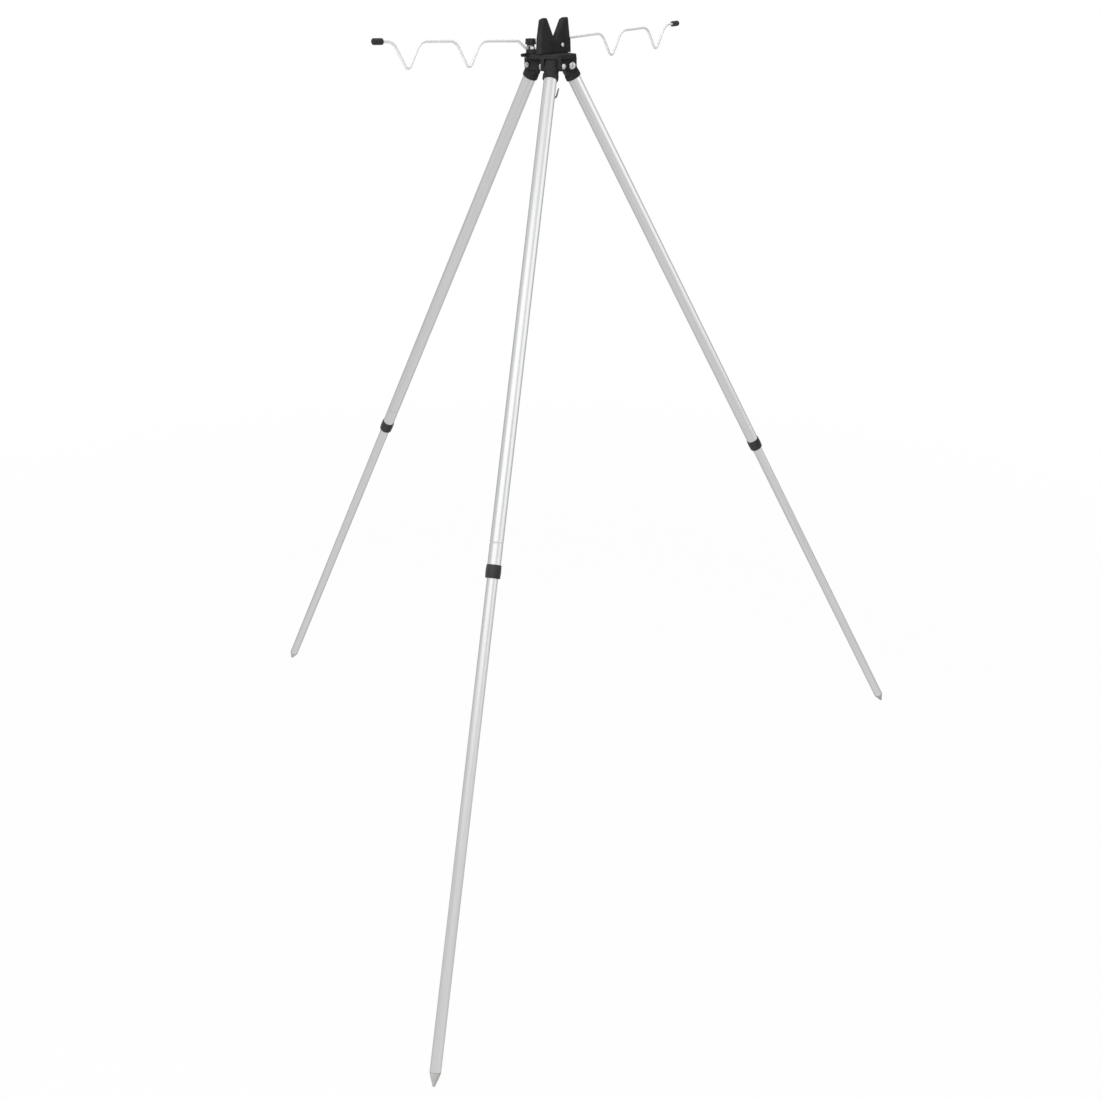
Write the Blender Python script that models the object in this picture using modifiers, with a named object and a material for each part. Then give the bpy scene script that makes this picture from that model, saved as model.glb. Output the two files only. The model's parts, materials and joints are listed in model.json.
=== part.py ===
"""Rod tripod: three telescopic legs, a moulded hub with a V fork, and two wire rod arms.

Metres, +Z up. The origin is on the floor, in the middle of the box round the three feet.
The rod arms lie along X. The rear leg points to +Y, the left one to -X and the right one to +X.
Heights on the head are counted from the level of the three leg hinges.
"""
import math

import bmesh
import bpy
from mathutils import Matrix, Vector

# Fits
CLEARANCE = 0.0003          # gap between two pieces that touch or turn in each other
MERGE = 0.00001             # distance at which a modifier or a weld joins two points
OVERRUN = 0.010             # how far a cutter reaches past what it cuts
NEAR_OVERRUN = 0.001        # the same, where other material is near

# Legs
LEG_LENGTH = 1.650          # from the hinge to the foot's tip, legs pulled out
SPREAD = math.radians(29.7)  # angle of a leg to the upright, against its stop
SIDE_ANGLE = 116.5          # seen from above, from the rear leg to each of the other two
LEG_TURNS = {"rear": 90, "left": 90 + SIDE_ANGLE, "right": 90 - SIDE_ANGLE}
MEETING_Y = -0.0109         # where the legs' lines would meet, seen from the hook's axis
HINGE_REACH = {"rear": 0.0439, "left": 0.0229, "right": 0.0229}  # from there to each hinge
UPPER_OD = 0.022
UPPER_WALL = 0.0012
TUBE_GAP = 0.0008           # air between the two tubes
LOWER_OD = UPPER_OD - 2 * (UPPER_WALL + TUBE_GAP)
LOWER_WALL = 0.0010
TUBE_TOP = 0.0145           # from the hinge to the upper tube's end
UPPER_LENGTH = 0.8375
CRIMP_RISE = 0.035          # from the collar's top up to the rolled groove
CRIMP_DEPTH = 0.0006
CRIMP_WIDTH = 0.004
CRIMP_FLOOR = 0.0016        # width of the groove's floor
RETRACTION = 0.680          # how far a lower tube slides in

# Facets round a turn
TUBE_STEPS = 20
SMALL_STEPS = 16
TINY_STEPS = 12
COARSE_STEPS = 8
HEXAGON = 6
SHARP_ANGLE = math.radians(35)  # edges sharper than this aren't shaded smooth

# Ferrule, the knuckle on top of a leg
KNUCKLE_WIDTH = UPPER_OD    # between the clevis cheeks
NECK_INSET = 0.00025
NECK_RADIUS = UPPER_OD / 2 - NECK_INSET
NECK_RISE = 0.0040          # how far the turned part reaches up into the knuckle
NECK_CHAMFER = 0.0010
KNUCKLE_EDGE = 0.0009
KNUCKLE_SHOULDER = 0.0037   # from the hinge down to where the knuckle's inner side turns straight
KNUCKLE_BACK = 5            # degrees past level at which the crown begins
SKIRT_WALL = 0.0020
SKIRT_OD = UPPER_OD + 2 * (CLEARANCE + SKIRT_WALL)
SKIRT_START = 0.0125        # from the hinge
SKIRT_FLARE = 0.003         # length of the cone above the skirt
SKIRT_END = 0.0235
SKIRT_RIM = 0.0010          # length of the chamfer on the skirt's rim
SKIRT_RIM_DEPTH = 0.0006
SPIGOT_LENGTH = 0.028       # inside the tube
SPIGOT_BORE = 0.011
SPIGOT_ROOF = 0.008         # solid above the bore, from the skirt's start

# Collar, the bush at the upper tube's lower end
COLLAR_WALL = 0.0015
COLLAR_OD = UPPER_OD + 2 * (CLEARANCE + COLLAR_WALL)
COLLAR_LENGTH = 0.022
COLLAR_LIP = 0.003          # how far it reaches past the tube
COLLAR_CROWN = 0.0005
COLLAR_WAIST = 0.0077       # from each end to the widest part
COLLAR_TOP_FLAT = 0.0006
COLLAR_TOP_SLOPE = 0.0014
COLLAR_FOOT_SLOPE = 0.0018
COLLAR_FOOT_CHAMFER = 0.0022

# Twist lock, inside the upper tube
LOCK_PLUG_LENGTH = 0.022    # in the lower tube's top
LOCK_FLANGE = 0.0018
SPINDLE_OD = 0.0072
SLEEVE_LENGTH = 0.026
SLEEVE_SLIT = 0.0016
SLEEVE_TO_CRIMP = 0.0015    # how far the flange stops from the groove
SLEEVE_CHAMFER = 0.0010
SLEEVE_CHAMFER_LENGTH = 0.0030
SPINDLE_HEAD = 0.0030
SPINDLE_HEAD_INSET = 0.0025  # how much narrower than the flange
SPINDLE_HEAD_CHAMFER = 0.0010

# Foot
FOOT_CONE = 0.020
FOOT_TIP_RADIUS = 0.0020
FOOT_SHOULDER = 0.0022
FOOT_SPIGOT = 0.024
FOOT_CHAMFER = 0.0010

# Hinge bolts
BOLT_OD = 0.005
BOLT_HEAD_OD = 0.0122
BOLT_HEAD_HEIGHT = 0.0040
BOLT_HEAD_CROWN = ((1.0, 0.35), (0.72, 0.85), (0.35, 1.0))  # shares of its radius and height
NUT_FLATS = 0.008
NUT_HEIGHT = 0.0047
NUT_CHAMFER = 0.0006
BOLT_PROUD = 0.0012         # past the nut
THREAD_CHAMFER = 0.0006

# Hub, heights from the level of the hinges
CHEEK = 0.006               # thickness of a clevis cheek
CHEEK_BOTTOM = -0.008
CHEEK_ROUND = 0.0075
CHEEK_CORNER = 0.001        # seen from above
CHEEK_SKIM = 0.0001         # keeps the corner's cutter off the faces it would only touch
NOTCH_ROUND = 0.004         # between two clevises
SLOT_ROUND = 0.002
CLEVIS_OUT = 0.0095         # from a hinge out to the cheeks' ends
CLEVIS_IN = 0.0120          # from a hinge in to the bottom of the slot
PLATE_BOTTOM = 0.011
PLATE_TOP = 0.0185
PLATE_CORNER = 0.003
PLATE_FILLET = 0.002
PLATE_FILLET_STEP = 0.0006  # where the fillet's two facets meet
EAR_RADIUS = 0.0078         # round each arm's pivot
PEG_RADIUS = 0.0028
PEG_LENGTH = 0.0155
PEG_DROP = 0.0010           # from the plate's top down to the peg's middle
PEG_CHAMFER = 0.0012

# Arm bracket, behind the fork
PIVOT_X = 0.0355
PIVOT_Y = 0.012
FORK_PLANE = -0.0023        # the fork's back face
BOSS_HEIGHT = 0.0066
UPRIGHT_HALF = 0.0225
UPRIGHT_DEPTH = 0.010
UPRIGHT_TOP = 0.0382
UPRIGHT_ROUND = 0.004
RIB_WIDTH = 0.004
RIB_X = 0.007
RIB_DEPTH = 0.0085
RIB_DROP = 0.004             # from the upright's top down to a rib's top
EDGE_ROUND = 0.0012
BRACKET_SCREW_X = 0.012
BRACKET_SCREW_Y = 0.004
BRACKET_SCREW_LENGTH = 0.0215
BRACKET_SCREW_HEAD_Z = 0.004
SCREW_OD = 0.0040
SCREW_HEAD_OD = 0.0078
SCREW_HEAD_HEIGHT = 0.0028
SCREW_HEAD_SIDE = 0.0014    # height of the head's straight side
SCREW_HEAD_FLAT = 0.0023    # radius of the head's flat top
SCREW_POINT = 0.0010
SCREW_END_GAP = 0.0010      # air past a screw's point

# Rod fork: a flat base, and two horns with crowned fronts
FORK_DEPTH = 0.0115
FORK_TIP_DEPTH = 0.0102     # the horns' backs lean forward above the base
FORK_FOOT_HALF = 0.0398
FORK_WAIST_HALF = 0.0386
FORK_TIP_HALF = 0.0332
FORK_TOP = 0.0738
FORK_CORNER = 0.0015
VEE_BOTTOM = 0.0385         # top of the base, where the V ends
VEE_BOTTOM_HALF = 0.0008
VEE_TOP_HALF = 0.0205
HORN_SINK = 0.0030          # how far a horn reaches into the base
HORN_STEP = 0.0003          # ledge round a horn's foot
HORN_CROWN = 0.0006         # how far a horn's middle stands out from its edges
HORN_FRONT_RADIUS = 0.0020
HORN_BACK_RADIUS = 0.0020
HORN_ROUND = 0.0018         # round the horns' tops
HORN_FALL = 0.0020          # the tops are lower at the back
FORK_SCREW_X = 0.016
FORK_SCREW_Z = 0.031
DIMPLE_OD = 0.0130
DIMPLE_DEPTH = 0.0010
FORK_SCREW_LENGTH = 0.0140
FORK_SCREW_PILOT = 0.0010   # hole in the fork for the rear screw's point
FORK_SCREW_ROOM = 0.0060    # hole in the bracket past the front screw's reach

# Pivot stud, washer and knob
STUD_OD = 0.006
STUD_FLATS = 0.010
STUD_HEAD = 0.004
WASHER_OD = 0.0145
WASHER_THICKNESS = 0.0012
KNOB_RADIUS = 0.0083        # at the grip's foot
KNOB_TOP_RADIUS = 0.0076
KNOB_LOBES = 6
KNOB_LOBE_DEPTH = 0.0015
KNOB_HEIGHT = 0.0094
KNOB_COLLAR_RADIUS = 0.0064
KNOB_COLLAR_HEIGHT = 0.0012
KNOB_EDGE = 0.0009
KNOB_POINTS_PER_LOBE = 6
STUD_IN_KNOB = 0.0060

# Rod arms of bent wire
WIRE_OD = 0.0045
ARM_RISE = math.radians(2.2)  # slope of the straight stretches
ARM_LINE_Z = 0.0372         # where the straight stretches would meet the hub's axis
FIRST_DIP = 0.1850          # from the hub's axis to the inner dip's lowest point
DIP_SPACING = 0.1345
DIP_COUNT = 2
DIP_DEPTH = 0.0386
DIP_HALF = 0.0335           # half the dip's width at the top
DIP_TOP_ROUND = 0.013
DIP_BOTTOM_ROUND = 0.0075
NECK_START = 0.0135         # from the pivot to where the wire starts to climb from its eye
NECK_END = 0.0307           # from the pivot to where it has reached the straight line
NECK_ROUND = 0.008
EYE_OPENING = 38            # degrees at which the eye's loose end stops
EYE_CLOSING = 348           # degrees at which it runs out into the arm
EYE_STEPS = 14
BEND_STEPS = 4
ARM_TAIL = 0.0345           # straight stretch past the outer dip
ARM_END = FIRST_DIP + (DIP_COUNT - 1) * DIP_SPACING + DIP_HALF + ARM_TAIL
CAP_OD = 0.0112
CAP_LENGTH = 0.0225
CAP_OVER_WIRE = 0.0195
CAP_ROUND = 0.0016

# Ballast hook
HOOK_WIRE = 0.0030
HOOK_BEND = 0.0068
HOOK_DROP = 0.0455          # from the hinge level down to the bend's middle
HOOK_TIP_RISE = 0.0090
HOOK_TIP_LEAN = 0.35        # how far the tip leans out for each unit it rises
HOOK_HEAD_OD = 0.0080
HOOK_HEAD_HEIGHT = 0.0020
HOOK_NECK = 0.0001          # height in which the head narrows to the wire
HOOK_STEPS = 8
HOOK_TURN = math.radians(-80)  # direction of the hook's open side

FULL_TURN = 2 * math.pi
KNUCKLE_RADIUS = PLATE_BOTTOM - CLEARANCE  # just under the plate, so the heel stops on it
HINGE_HEIGHT = LEG_LENGTH * math.cos(SPREAD) + FOOT_TIP_RADIUS * math.sin(SPREAD)


def box_middle_offset():
    """How far the hub's axis stands from the middle of the box round the feet, along Y."""
    rear = HINGE_REACH["rear"] + LEG_LENGTH * math.sin(SPREAD) + FOOT_TIP_RADIUS * math.cos(SPREAD)
    rear += MEETING_Y
    shoulder = HINGE_REACH["right"] + (LEG_LENGTH - FOOT_CONE) * math.sin(SPREAD)
    lean = math.radians(LEG_TURNS["right"])
    ring = math.hypot(math.cos(SPREAD) * math.sin(lean), math.cos(lean))
    front = -MEETING_Y - shoulder * math.sin(lean) + LOWER_OD / 2 * ring
    return (rear - front) / 2


HUB_Y = -box_middle_offset()


# Scene, materials and frames

def clear_scene():
    for obj in list(bpy.data.objects):
        bpy.data.objects.remove(obj, do_unlink=True)


def new_collection(name):
    collection = bpy.data.collections.new(name)
    bpy.context.scene.collection.children.link(collection)
    return collection


def new_material(name, colour, roughness, metallic):
    material = bpy.data.materials.new(name)
    material.use_nodes = True
    shader = material.node_tree.nodes["Principled BSDF"]
    shader.inputs["Base Color"].default_value = (*colour, 1.0)
    shader.inputs["Roughness"].default_value = roughness
    shader.inputs["Metallic"].default_value = metallic
    return material


def new_frame(name, location, rotation=(0, 0, 0), parent=None):
    frame = bpy.data.objects.new(name, None)
    frame.empty_display_size = 0.05
    frame.location = location
    frame.rotation_euler = rotation
    frame.parent = parent
    parts.objects.link(frame)
    return frame


clear_scene()
parts = new_collection("rod_tripod")
cutters = new_collection("cutters")

BLACK_NYLON = new_material("black_nylon", (0.030, 0.030, 0.032), 0.55, 0.0)
BLACK_RUBBER = new_material("black_rubber", (0.022, 0.022, 0.024), 0.75, 0.0)
GREY_NYLON = new_material("grey_nylon", (0.35, 0.34, 0.32), 0.50, 0.0)
WHITE_ACETAL = new_material("white_acetal", (0.75, 0.75, 0.72), 0.45, 0.0)
SATIN_ALUMINIUM = new_material("satin_aluminium", (0.72, 0.73, 0.74), 0.35, 1.0)
BRIGHT_STEEL = new_material("bright_steel", (0.70, 0.70, 0.71), 0.22, 1.0)
DARK_STEEL = new_material("dark_steel", (0.16, 0.16, 0.17), 0.40, 1.0)
WHITE_COATING = new_material("white_coating", (0.86, 0.86, 0.84), 0.35, 0.0)


# Making meshes

def add_object(name, data, material, parent=None, location=(0, 0, 0), rotation=(0, 0, 0)):
    obj = bpy.data.objects.new(name, data)
    obj.location = location
    obj.rotation_euler = rotation
    obj.parent = parent
    data.materials.clear()
    data.materials.append(material)
    parts.objects.link(obj)
    return obj


def mesh_from(bm, name):
    bmesh.ops.recalc_face_normals(bm, faces=bm.faces)
    bmesh.ops.triangulate(bm, faces=[face for face in bm.faces if len(face.verts) > 4])
    mesh = bpy.data.meshes.new(name)
    bm.to_mesh(mesh)
    bm.free()
    mesh.shade_smooth()
    mesh.set_sharp_from_angle(angle=SHARP_ANGLE)
    return mesh


def arc(centre, radius, start, end, steps):
    """Points on an arc in degrees, both ends included."""
    points = []
    for i in range(steps + 1):
        angle = math.radians(start + (end - start) * i / steps)
        points.append((centre[0] + radius * math.cos(angle), centre[1] + radius * math.sin(angle)))
    return points


def rounded(corners, steps=3, closed=True):
    """A line through corners (x, y, radius) with arcs at the corners; an open one keeps its two ends."""
    line = []
    for i, (x, y, radius) in enumerate(corners):
        loose_end = not closed and i in (0, len(corners) - 1)
        if radius <= 0 or loose_end:
            line.append((x, y))
            continue
        here = Vector((x, y))
        before = (Vector(corners[i - 1][:2]) - here).normalized()
        after = (Vector(corners[(i + 1) % len(corners)][:2]) - here).normalized()
        half = before.angle(after) / 2
        centre = here + (before + after).normalized() * radius / math.sin(half)
        first = here + before * radius / math.tan(half) - centre
        last = here + after * radius / math.tan(half) - centre
        sweep = first.angle_signed(last)
        for step in range(steps + 1):
            point = centre + Matrix.Rotation(-sweep * step / steps, 2) @ first
            line.append((point.x, point.y))
    return line


def solid_from_outline(outline, low, high, plane="XY"):
    """A flat outline given thickness: XY stands it along Z, XZ lays it along Y."""
    curve = bpy.data.curves.new("outline", "CURVE")
    curve.dimensions = "2D"
    curve.fill_mode = "BOTH"
    curve.extrude = (high - low) / 2
    spline = curve.splines.new("POLY")
    spline.points.add(len(outline) - 1)
    for point, (x, y) in zip(spline.points, outline):
        point.co = (x, y, 0, 1)
    spline.use_cyclic_u = True
    guide = bpy.data.objects.new("outline", curve)
    cutters.objects.link(guide)
    bpy.context.view_layer.update()
    evaluated = guide.evaluated_get(bpy.context.evaluated_depsgraph_get())
    flat = bpy.data.meshes.new_from_object(evaluated)
    bm = bmesh.new()
    bm.from_mesh(flat)
    bpy.data.objects.remove(guide)
    bpy.data.curves.remove(curve)
    bpy.data.meshes.remove(flat)
    bmesh.ops.remove_doubles(bm, verts=bm.verts, dist=MERGE)
    middle = (low + high) / 2
    for vert in bm.verts:
        x, y, z = vert.co
        vert.co = (x, y, z + middle) if plane == "XY" else (x, z + middle, y)
    bmesh.ops.dissolve_limit(bm, angle_limit=math.radians(0.5), verts=bm.verts, edges=bm.edges)
    return bm


def hull_of_discs(discs, steps=TINY_STEPS):
    """The convex solid round flat discs, each given as x, y, z and radius."""
    bm = bmesh.new()
    for x, y, z, radius in discs:
        for i in range(steps):
            angle = FULL_TURN * (i + 0.5) / steps
            bm.verts.new((x + radius * math.cos(angle), y + radius * math.sin(angle), z))
    hull = bmesh.ops.convex_hull(bm, input=bm.verts)
    spare = [item for item in hull["geom_interior"] if isinstance(item, bmesh.types.BMVert)]
    bmesh.ops.delete(bm, geom=spare, context="VERTS")
    bmesh.ops.dissolve_limit(bm, angle_limit=math.radians(0.5), verts=bm.verts, edges=bm.edges)
    return bm


def turned(name, profile, material, parent=None, location=(0, 0, 0), rotation=(0, 0, 0),
           steps=TUBE_STEPS, closed=False):
    """A piece turned round Z from points (radius, height), listed down its outer side."""
    mesh = bpy.data.meshes.new(name)
    verts = [(radius, 0, height) for radius, height in profile]
    edges = [(i, i + 1) for i in range(len(verts) - 1)]
    if closed:
        edges.append((len(verts) - 1, 0))
    mesh.from_pydata(verts, edges, [])
    obj = add_object(name, mesh, material, parent, location, rotation)
    screw = obj.modifiers.new("turn", "SCREW")
    screw.steps = steps
    screw.render_steps = steps
    screw.use_merge_vertices = True
    screw.merge_threshold = MERGE
    screw.use_smooth_shade = True
    return obj


def rod_mesh(radius, low, high, sides=SMALL_STEPS):
    bm = bmesh.new()
    bmesh.ops.create_cone(bm, cap_ends=True, segments=sides, radius1=radius, radius2=radius,
                          depth=high - low, matrix=Matrix.Translation((0, 0, (low + high) / 2)))
    return bm


def box_mesh(low, high):
    bm = bmesh.new()
    size = Vector(high) - Vector(low)
    middle = (Vector(high) + Vector(low)) / 2
    bmesh.ops.create_cube(bm, size=1, matrix=Matrix.Translation(middle) @ Matrix.Diagonal((*size, 1)))
    return bm


def as_tool(obj):
    """Moves a helper to the cutters' collection, where it isn't part of the object."""
    for collection in list(obj.users_collection):
        collection.objects.unlink(obj)
    cutters.objects.link(obj)
    obj.hide_render = True
    obj.display_type = "WIRE"
    return obj


def tool_from(bm, name, parent=None, location=(0, 0, 0), rotation=(0, 0, 0)):
    return as_tool(add_object(name, mesh_from(bm, name), BLACK_NYLON, parent, location, rotation))


def combine(obj, tool, operation):
    boolean = obj.modifiers.new(operation.lower(), "BOOLEAN")
    boolean.operation = operation
    boolean.solver = "EXACT"
    boolean.object = tool


def cut(obj, tool):
    combine(obj, tool, "DIFFERENCE")


def join(obj, tool):
    combine(obj, tool, "UNION")


def drill(obj, diameter, low, high, parent=None, location=(0, 0, 0), rotation=(0, 0, 0), sides=SMALL_STEPS):
    """Cuts a round hole along the frame's Z, with clearance for that diameter, between two heights."""
    rod = rod_mesh(diameter / 2 + CLEARANCE, low, high, sides)
    cut(obj, tool_from(rod, "drill", parent, location, rotation))


def across_corners(flats):
    return flats / math.cos(math.pi / HEXAGON)


def bevel(obj, width, segments=2, angle=30):
    modifier = obj.modifiers.new("edges", "BEVEL")
    modifier.width = width
    modifier.segments = segments
    modifier.limit_method = "ANGLE"
    modifier.angle_limit = math.radians(angle)
    modifier.use_clamp_overlap = True
    return modifier


def wire(name, points, diameter, material, parent, radii=None, sides=2):
    """A round wire through the points, as a closed mesh."""
    curve = bpy.data.curves.new(name, "CURVE")
    curve.dimensions = "3D"
    curve.bevel_depth = diameter / 2
    curve.bevel_resolution = sides
    curve.use_fill_caps = True
    spline = curve.splines.new("POLY")
    spline.points.add(len(points) - 1)
    for i, (point, co) in enumerate(zip(spline.points, points)):
        point.co = (*co, 1)
        point.radius = radii[i] if radii else 1.0
    spline.use_smooth = True
    return add_object(name, curve, material, parent)


# Frames that carry the pieces

hub_frame = new_frame("hub_frame", (0, HUB_Y, HINGE_HEIGHT))
leg_frames = {}
lower_frames = {}
for side, turn in LEG_TURNS.items():
    along = math.radians(turn)
    reach = HINGE_REACH[side]
    place = (reach * math.cos(along), MEETING_Y + reach * math.sin(along), 0)
    leg_frames[side] = new_frame("leg_frame_" + side, place, (0, -SPREAD, along), hub_frame)
    lower_frames[side] = new_frame("lower_frame_" + side, (0, 0, 0), parent=leg_frames[side])
arm_frames = {}
for side, sign in (("left", -1), ("right", 1)):
    turn = 0 if sign > 0 else math.pi
    place = (sign * PIVOT_X, PIVOT_Y, 0)
    arm_frames[side] = new_frame("arm_frame_" + side, place, (0, 0, turn), hub_frame)


# Hub

def clevis_point(side, reach, sideways):
    """Plan position of a point given by its distance out from the meeting point, and sideways."""
    along = math.radians(LEG_TURNS[side])
    x = reach * math.cos(along) - sideways * math.sin(along)
    y = reach * math.sin(along) + sideways * math.cos(along)
    return x, y + MEETING_Y


def clevis_outline():
    """Plan of the clevises: six cheeks that meet in a solid core."""
    inner = KNUCKLE_WIDTH / 2 + CLEARANCE
    outer = inner + CHEEK
    corners = []
    before = LEG_TURNS["right"]
    for side in ("rear", "left", "right"):
        gap = math.radians((LEG_TURNS[side] - before) % 360)
        before = LEG_TURNS[side]
        notch = outer / math.tan(gap / 2)
        end = HINGE_REACH[side] + CLEVIS_OUT
        slot = HINGE_REACH[side] - CLEVIS_IN
        steps = ((notch, -outer, NOTCH_ROUND), (end, -outer, CHEEK_CORNER), (end, -inner, CHEEK_CORNER),
                 (slot, -inner, SLOT_ROUND), (slot, inner, SLOT_ROUND), (end, inner, CHEEK_CORNER),
                 (end, outer, CHEEK_CORNER))
        for reach, sideways, radius in steps:
            corners.append((*clevis_point(side, reach, sideways), radius))
    return rounded(corners, steps=2)


def cheek_corner(side):
    """What is cut away to round a clevis's outer lower corner: distance outwards, height."""
    end = HINGE_REACH[side] + CLEVIS_OUT
    below = CHEEK_BOTTOM - NEAR_OVERRUN
    beyond = end + NEAR_OVERRUN
    outside = [(end - CHEEK_ROUND - NEAR_OVERRUN, below), (beyond, below),
               (beyond, CHEEK_BOTTOM + CHEEK_ROUND + NEAR_OVERRUN)]
    inset = CHEEK_ROUND + CHEEK_SKIM
    return outside + arc((end - inset, CHEEK_BOTTOM + inset), CHEEK_ROUND, 0, -90, 5)


def plate_discs():
    """The plate's rounded corners: two at the end of each clevis, and an ear round each arm's pivot."""
    half = KNUCKLE_WIDTH / 2 + CLEARANCE + CHEEK - PLATE_CORNER
    centres = []
    for side in LEG_TURNS:
        for sideways in (-half, half):
            point = clevis_point(side, HINGE_REACH[side] + CLEVIS_OUT - PLATE_CORNER, sideways)
            centres.append((*point, PLATE_CORNER))
    centres.append((-PIVOT_X, PIVOT_Y, EAR_RADIUS))
    centres.append((PIVOT_X, PIVOT_Y, EAR_RADIUS))
    levels = ((PLATE_BOTTOM, 0), (PLATE_TOP - PLATE_FILLET, 0),
              (PLATE_TOP - PLATE_FILLET_STEP, PLATE_FILLET_STEP), (PLATE_TOP, PLATE_FILLET))
    return [(x, y, z, radius - inset) for x, y, radius in centres for z, inset in levels]


STUD_HEAD_TOP = PLATE_BOTTOM + STUD_HEAD


def make_hub():
    hub = add_object("hub", mesh_from(hull_of_discs(plate_discs()), "hub"), BLACK_NYLON, hub_frame)
    walls = solid_from_outline(clevis_outline(), CHEEK_BOTTOM, PLATE_BOTTOM + PLATE_FILLET)
    join(hub, tool_from(walls, "clevis_walls", hub_frame))
    span = KNUCKLE_WIDTH / 2 + CHEEK + BOLT_HEAD_HEIGHT
    for side, turn in LEG_TURNS.items():
        corner = solid_from_outline(cheek_corner(side), -span, span, "XZ")
        place = (0, MEETING_Y, 0)
        cut(hub, tool_from(corner, "cheek_corner", hub_frame, place, (0, 0, math.radians(turn))))
    for sign in (-1, 1):
        start = PIVOT_X + EAR_RADIUS / 2
        end = PIVOT_X + EAR_RADIUS + PEG_LENGTH
        profile = [(0, end), (PEG_RADIUS - PEG_CHAMFER, end), (PEG_RADIUS, end - PEG_CHAMFER),
                   (PEG_RADIUS, start), (0, start)]
        peg = turned("peg", profile, BLACK_NYLON, hub_frame, (0, PIVOT_Y, PLATE_TOP - PEG_DROP),
                     (0, sign * math.pi / 2, 0), steps=COARSE_STEPS)
        join(hub, as_tool(peg))
    above = PLATE_TOP + OVERRUN
    below = CHEEK_BOTTOM - OVERRUN
    for frame in arm_frames.values():
        drill(hub, 2 * EAR_RADIUS, PLATE_TOP, above, frame, sides=TUBE_STEPS)
    for side in LEG_TURNS:
        drill(hub, BOLT_OD, -span, span, leg_frames[side], rotation=(math.pi / 2, 0, 0))
    for frame in arm_frames.values():
        drill(hub, STUD_OD, PLATE_BOTTOM - OVERRUN, above, frame)
        pocket = across_corners(STUD_FLATS + 2 * CLEARANCE) - 2 * CLEARANCE
        drill(hub, pocket, PLATE_BOTTOM - OVERRUN, STUD_HEAD_TOP + CLEARANCE, frame, sides=HEXAGON)
    for sign in (-1, 1):
        place = (sign * BRACKET_SCREW_X, BRACKET_SCREW_Y, 0)
        drill(hub, SCREW_OD, below, above, hub_frame, place)
        drill(hub, SCREW_HEAD_OD, below, BRACKET_SCREW_HEAD_Z, hub_frame, place)
    drill(hub, HOOK_WIRE, below, above, hub_frame, sides=COARSE_STEPS)
    seat = PLATE_TOP - HOOK_HEAD_HEIGHT - 2 * CLEARANCE
    drill(hub, HOOK_HEAD_OD, seat, above, hub_frame)


# Arm bracket with its screws

def make_bracket():
    bottom = PLATE_TOP + CLEARANCE
    top = bottom + BOSS_HEIGHT
    front = FORK_PLANE + CLEARANCE
    discs = []
    for z, inset in ((bottom, 0), (top - EDGE_ROUND, 0), (top, EDGE_ROUND)):
        for sign in (-1, 1):
            discs.append((sign * PIVOT_X, PIVOT_Y, z, EAR_RADIUS - inset))
            discs.append((sign * (PIVOT_X - EAR_RADIUS), front + PLATE_CORNER, z, PLATE_CORNER - inset))
    base = mesh_from(hull_of_discs(discs), "arm_bracket")
    bracket = add_object("arm_bracket", base, BLACK_NYLON, hub_frame)
    corners = [(-UPRIGHT_HALF, bottom + EDGE_ROUND, 0), (UPRIGHT_HALF, bottom + EDGE_ROUND, 0),
               (UPRIGHT_HALF, UPRIGHT_TOP, UPRIGHT_ROUND), (-UPRIGHT_HALF, UPRIGHT_TOP, UPRIGHT_ROUND)]
    upright = solid_from_outline(rounded(corners), front, front + UPRIGHT_DEPTH, "XZ")
    join(bracket, tool_from(upright, "upright", hub_frame))
    for sign in (-1, 1):
        foot = front + UPRIGHT_DEPTH
        slope = [(foot - EDGE_ROUND, top - EDGE_ROUND), (foot + RIB_DEPTH, top - EDGE_ROUND),
                 (foot + RIB_DEPTH, top + EDGE_ROUND / 2), (foot, UPRIGHT_TOP - RIB_DROP),
                 (foot - EDGE_ROUND, UPRIGHT_TOP - RIB_DROP)]
        rib = solid_from_outline(slope, -RIB_WIDTH / 2, RIB_WIDTH / 2)
        turn = Matrix.Rotation(math.pi / 2, 4, "Z") @ Matrix.Rotation(math.pi / 2, 4, "X")
        bmesh.ops.transform(rib, matrix=turn, verts=rib.verts)
        join(bracket, tool_from(rib, "rib", hub_frame, (sign * RIB_X, 0, 0)))
    for frame in arm_frames.values():
        drill(bracket, STUD_OD, 0, top + OVERRUN, frame)
    for sign in (-1, 1):
        depth = BRACKET_SCREW_HEAD_Z + BRACKET_SCREW_LENGTH + SCREW_END_GAP
        place = (sign * BRACKET_SCREW_X, BRACKET_SCREW_Y, 0)
        drill(bracket, SCREW_OD, 0, depth, hub_frame, place)
    across = (-math.pi / 2, 0, 0)
    depth = FORK_SCREW_LENGTH - FORK_DEPTH + FORK_SCREW_ROOM
    drill(bracket, SCREW_OD, -OVERRUN, depth, hub_frame, (FORK_SCREW_X, front, FORK_SCREW_Z), across)
    drill(bracket, SCREW_OD, -OVERRUN, UPRIGHT_DEPTH + OVERRUN, hub_frame,
          (-FORK_SCREW_X, front, FORK_SCREW_Z), across)


def make_screw(name, length, parent, location, rotation):
    """A pan head screw, its head's seat at the origin and its shank along +Z."""
    head = SCREW_HEAD_OD / 2
    shank = SCREW_OD / 2
    profile = [(0, length), (SCREW_POINT, length), (shank, length - shank), (shank, 0), (head, 0),
               (head, -SCREW_HEAD_SIDE), (SCREW_HEAD_FLAT, -SCREW_HEAD_HEIGHT), (0, -SCREW_HEAD_HEIGHT)]
    return turned(name, profile, BRIGHT_STEEL, parent, location, rotation, steps=TINY_STEPS)


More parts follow.
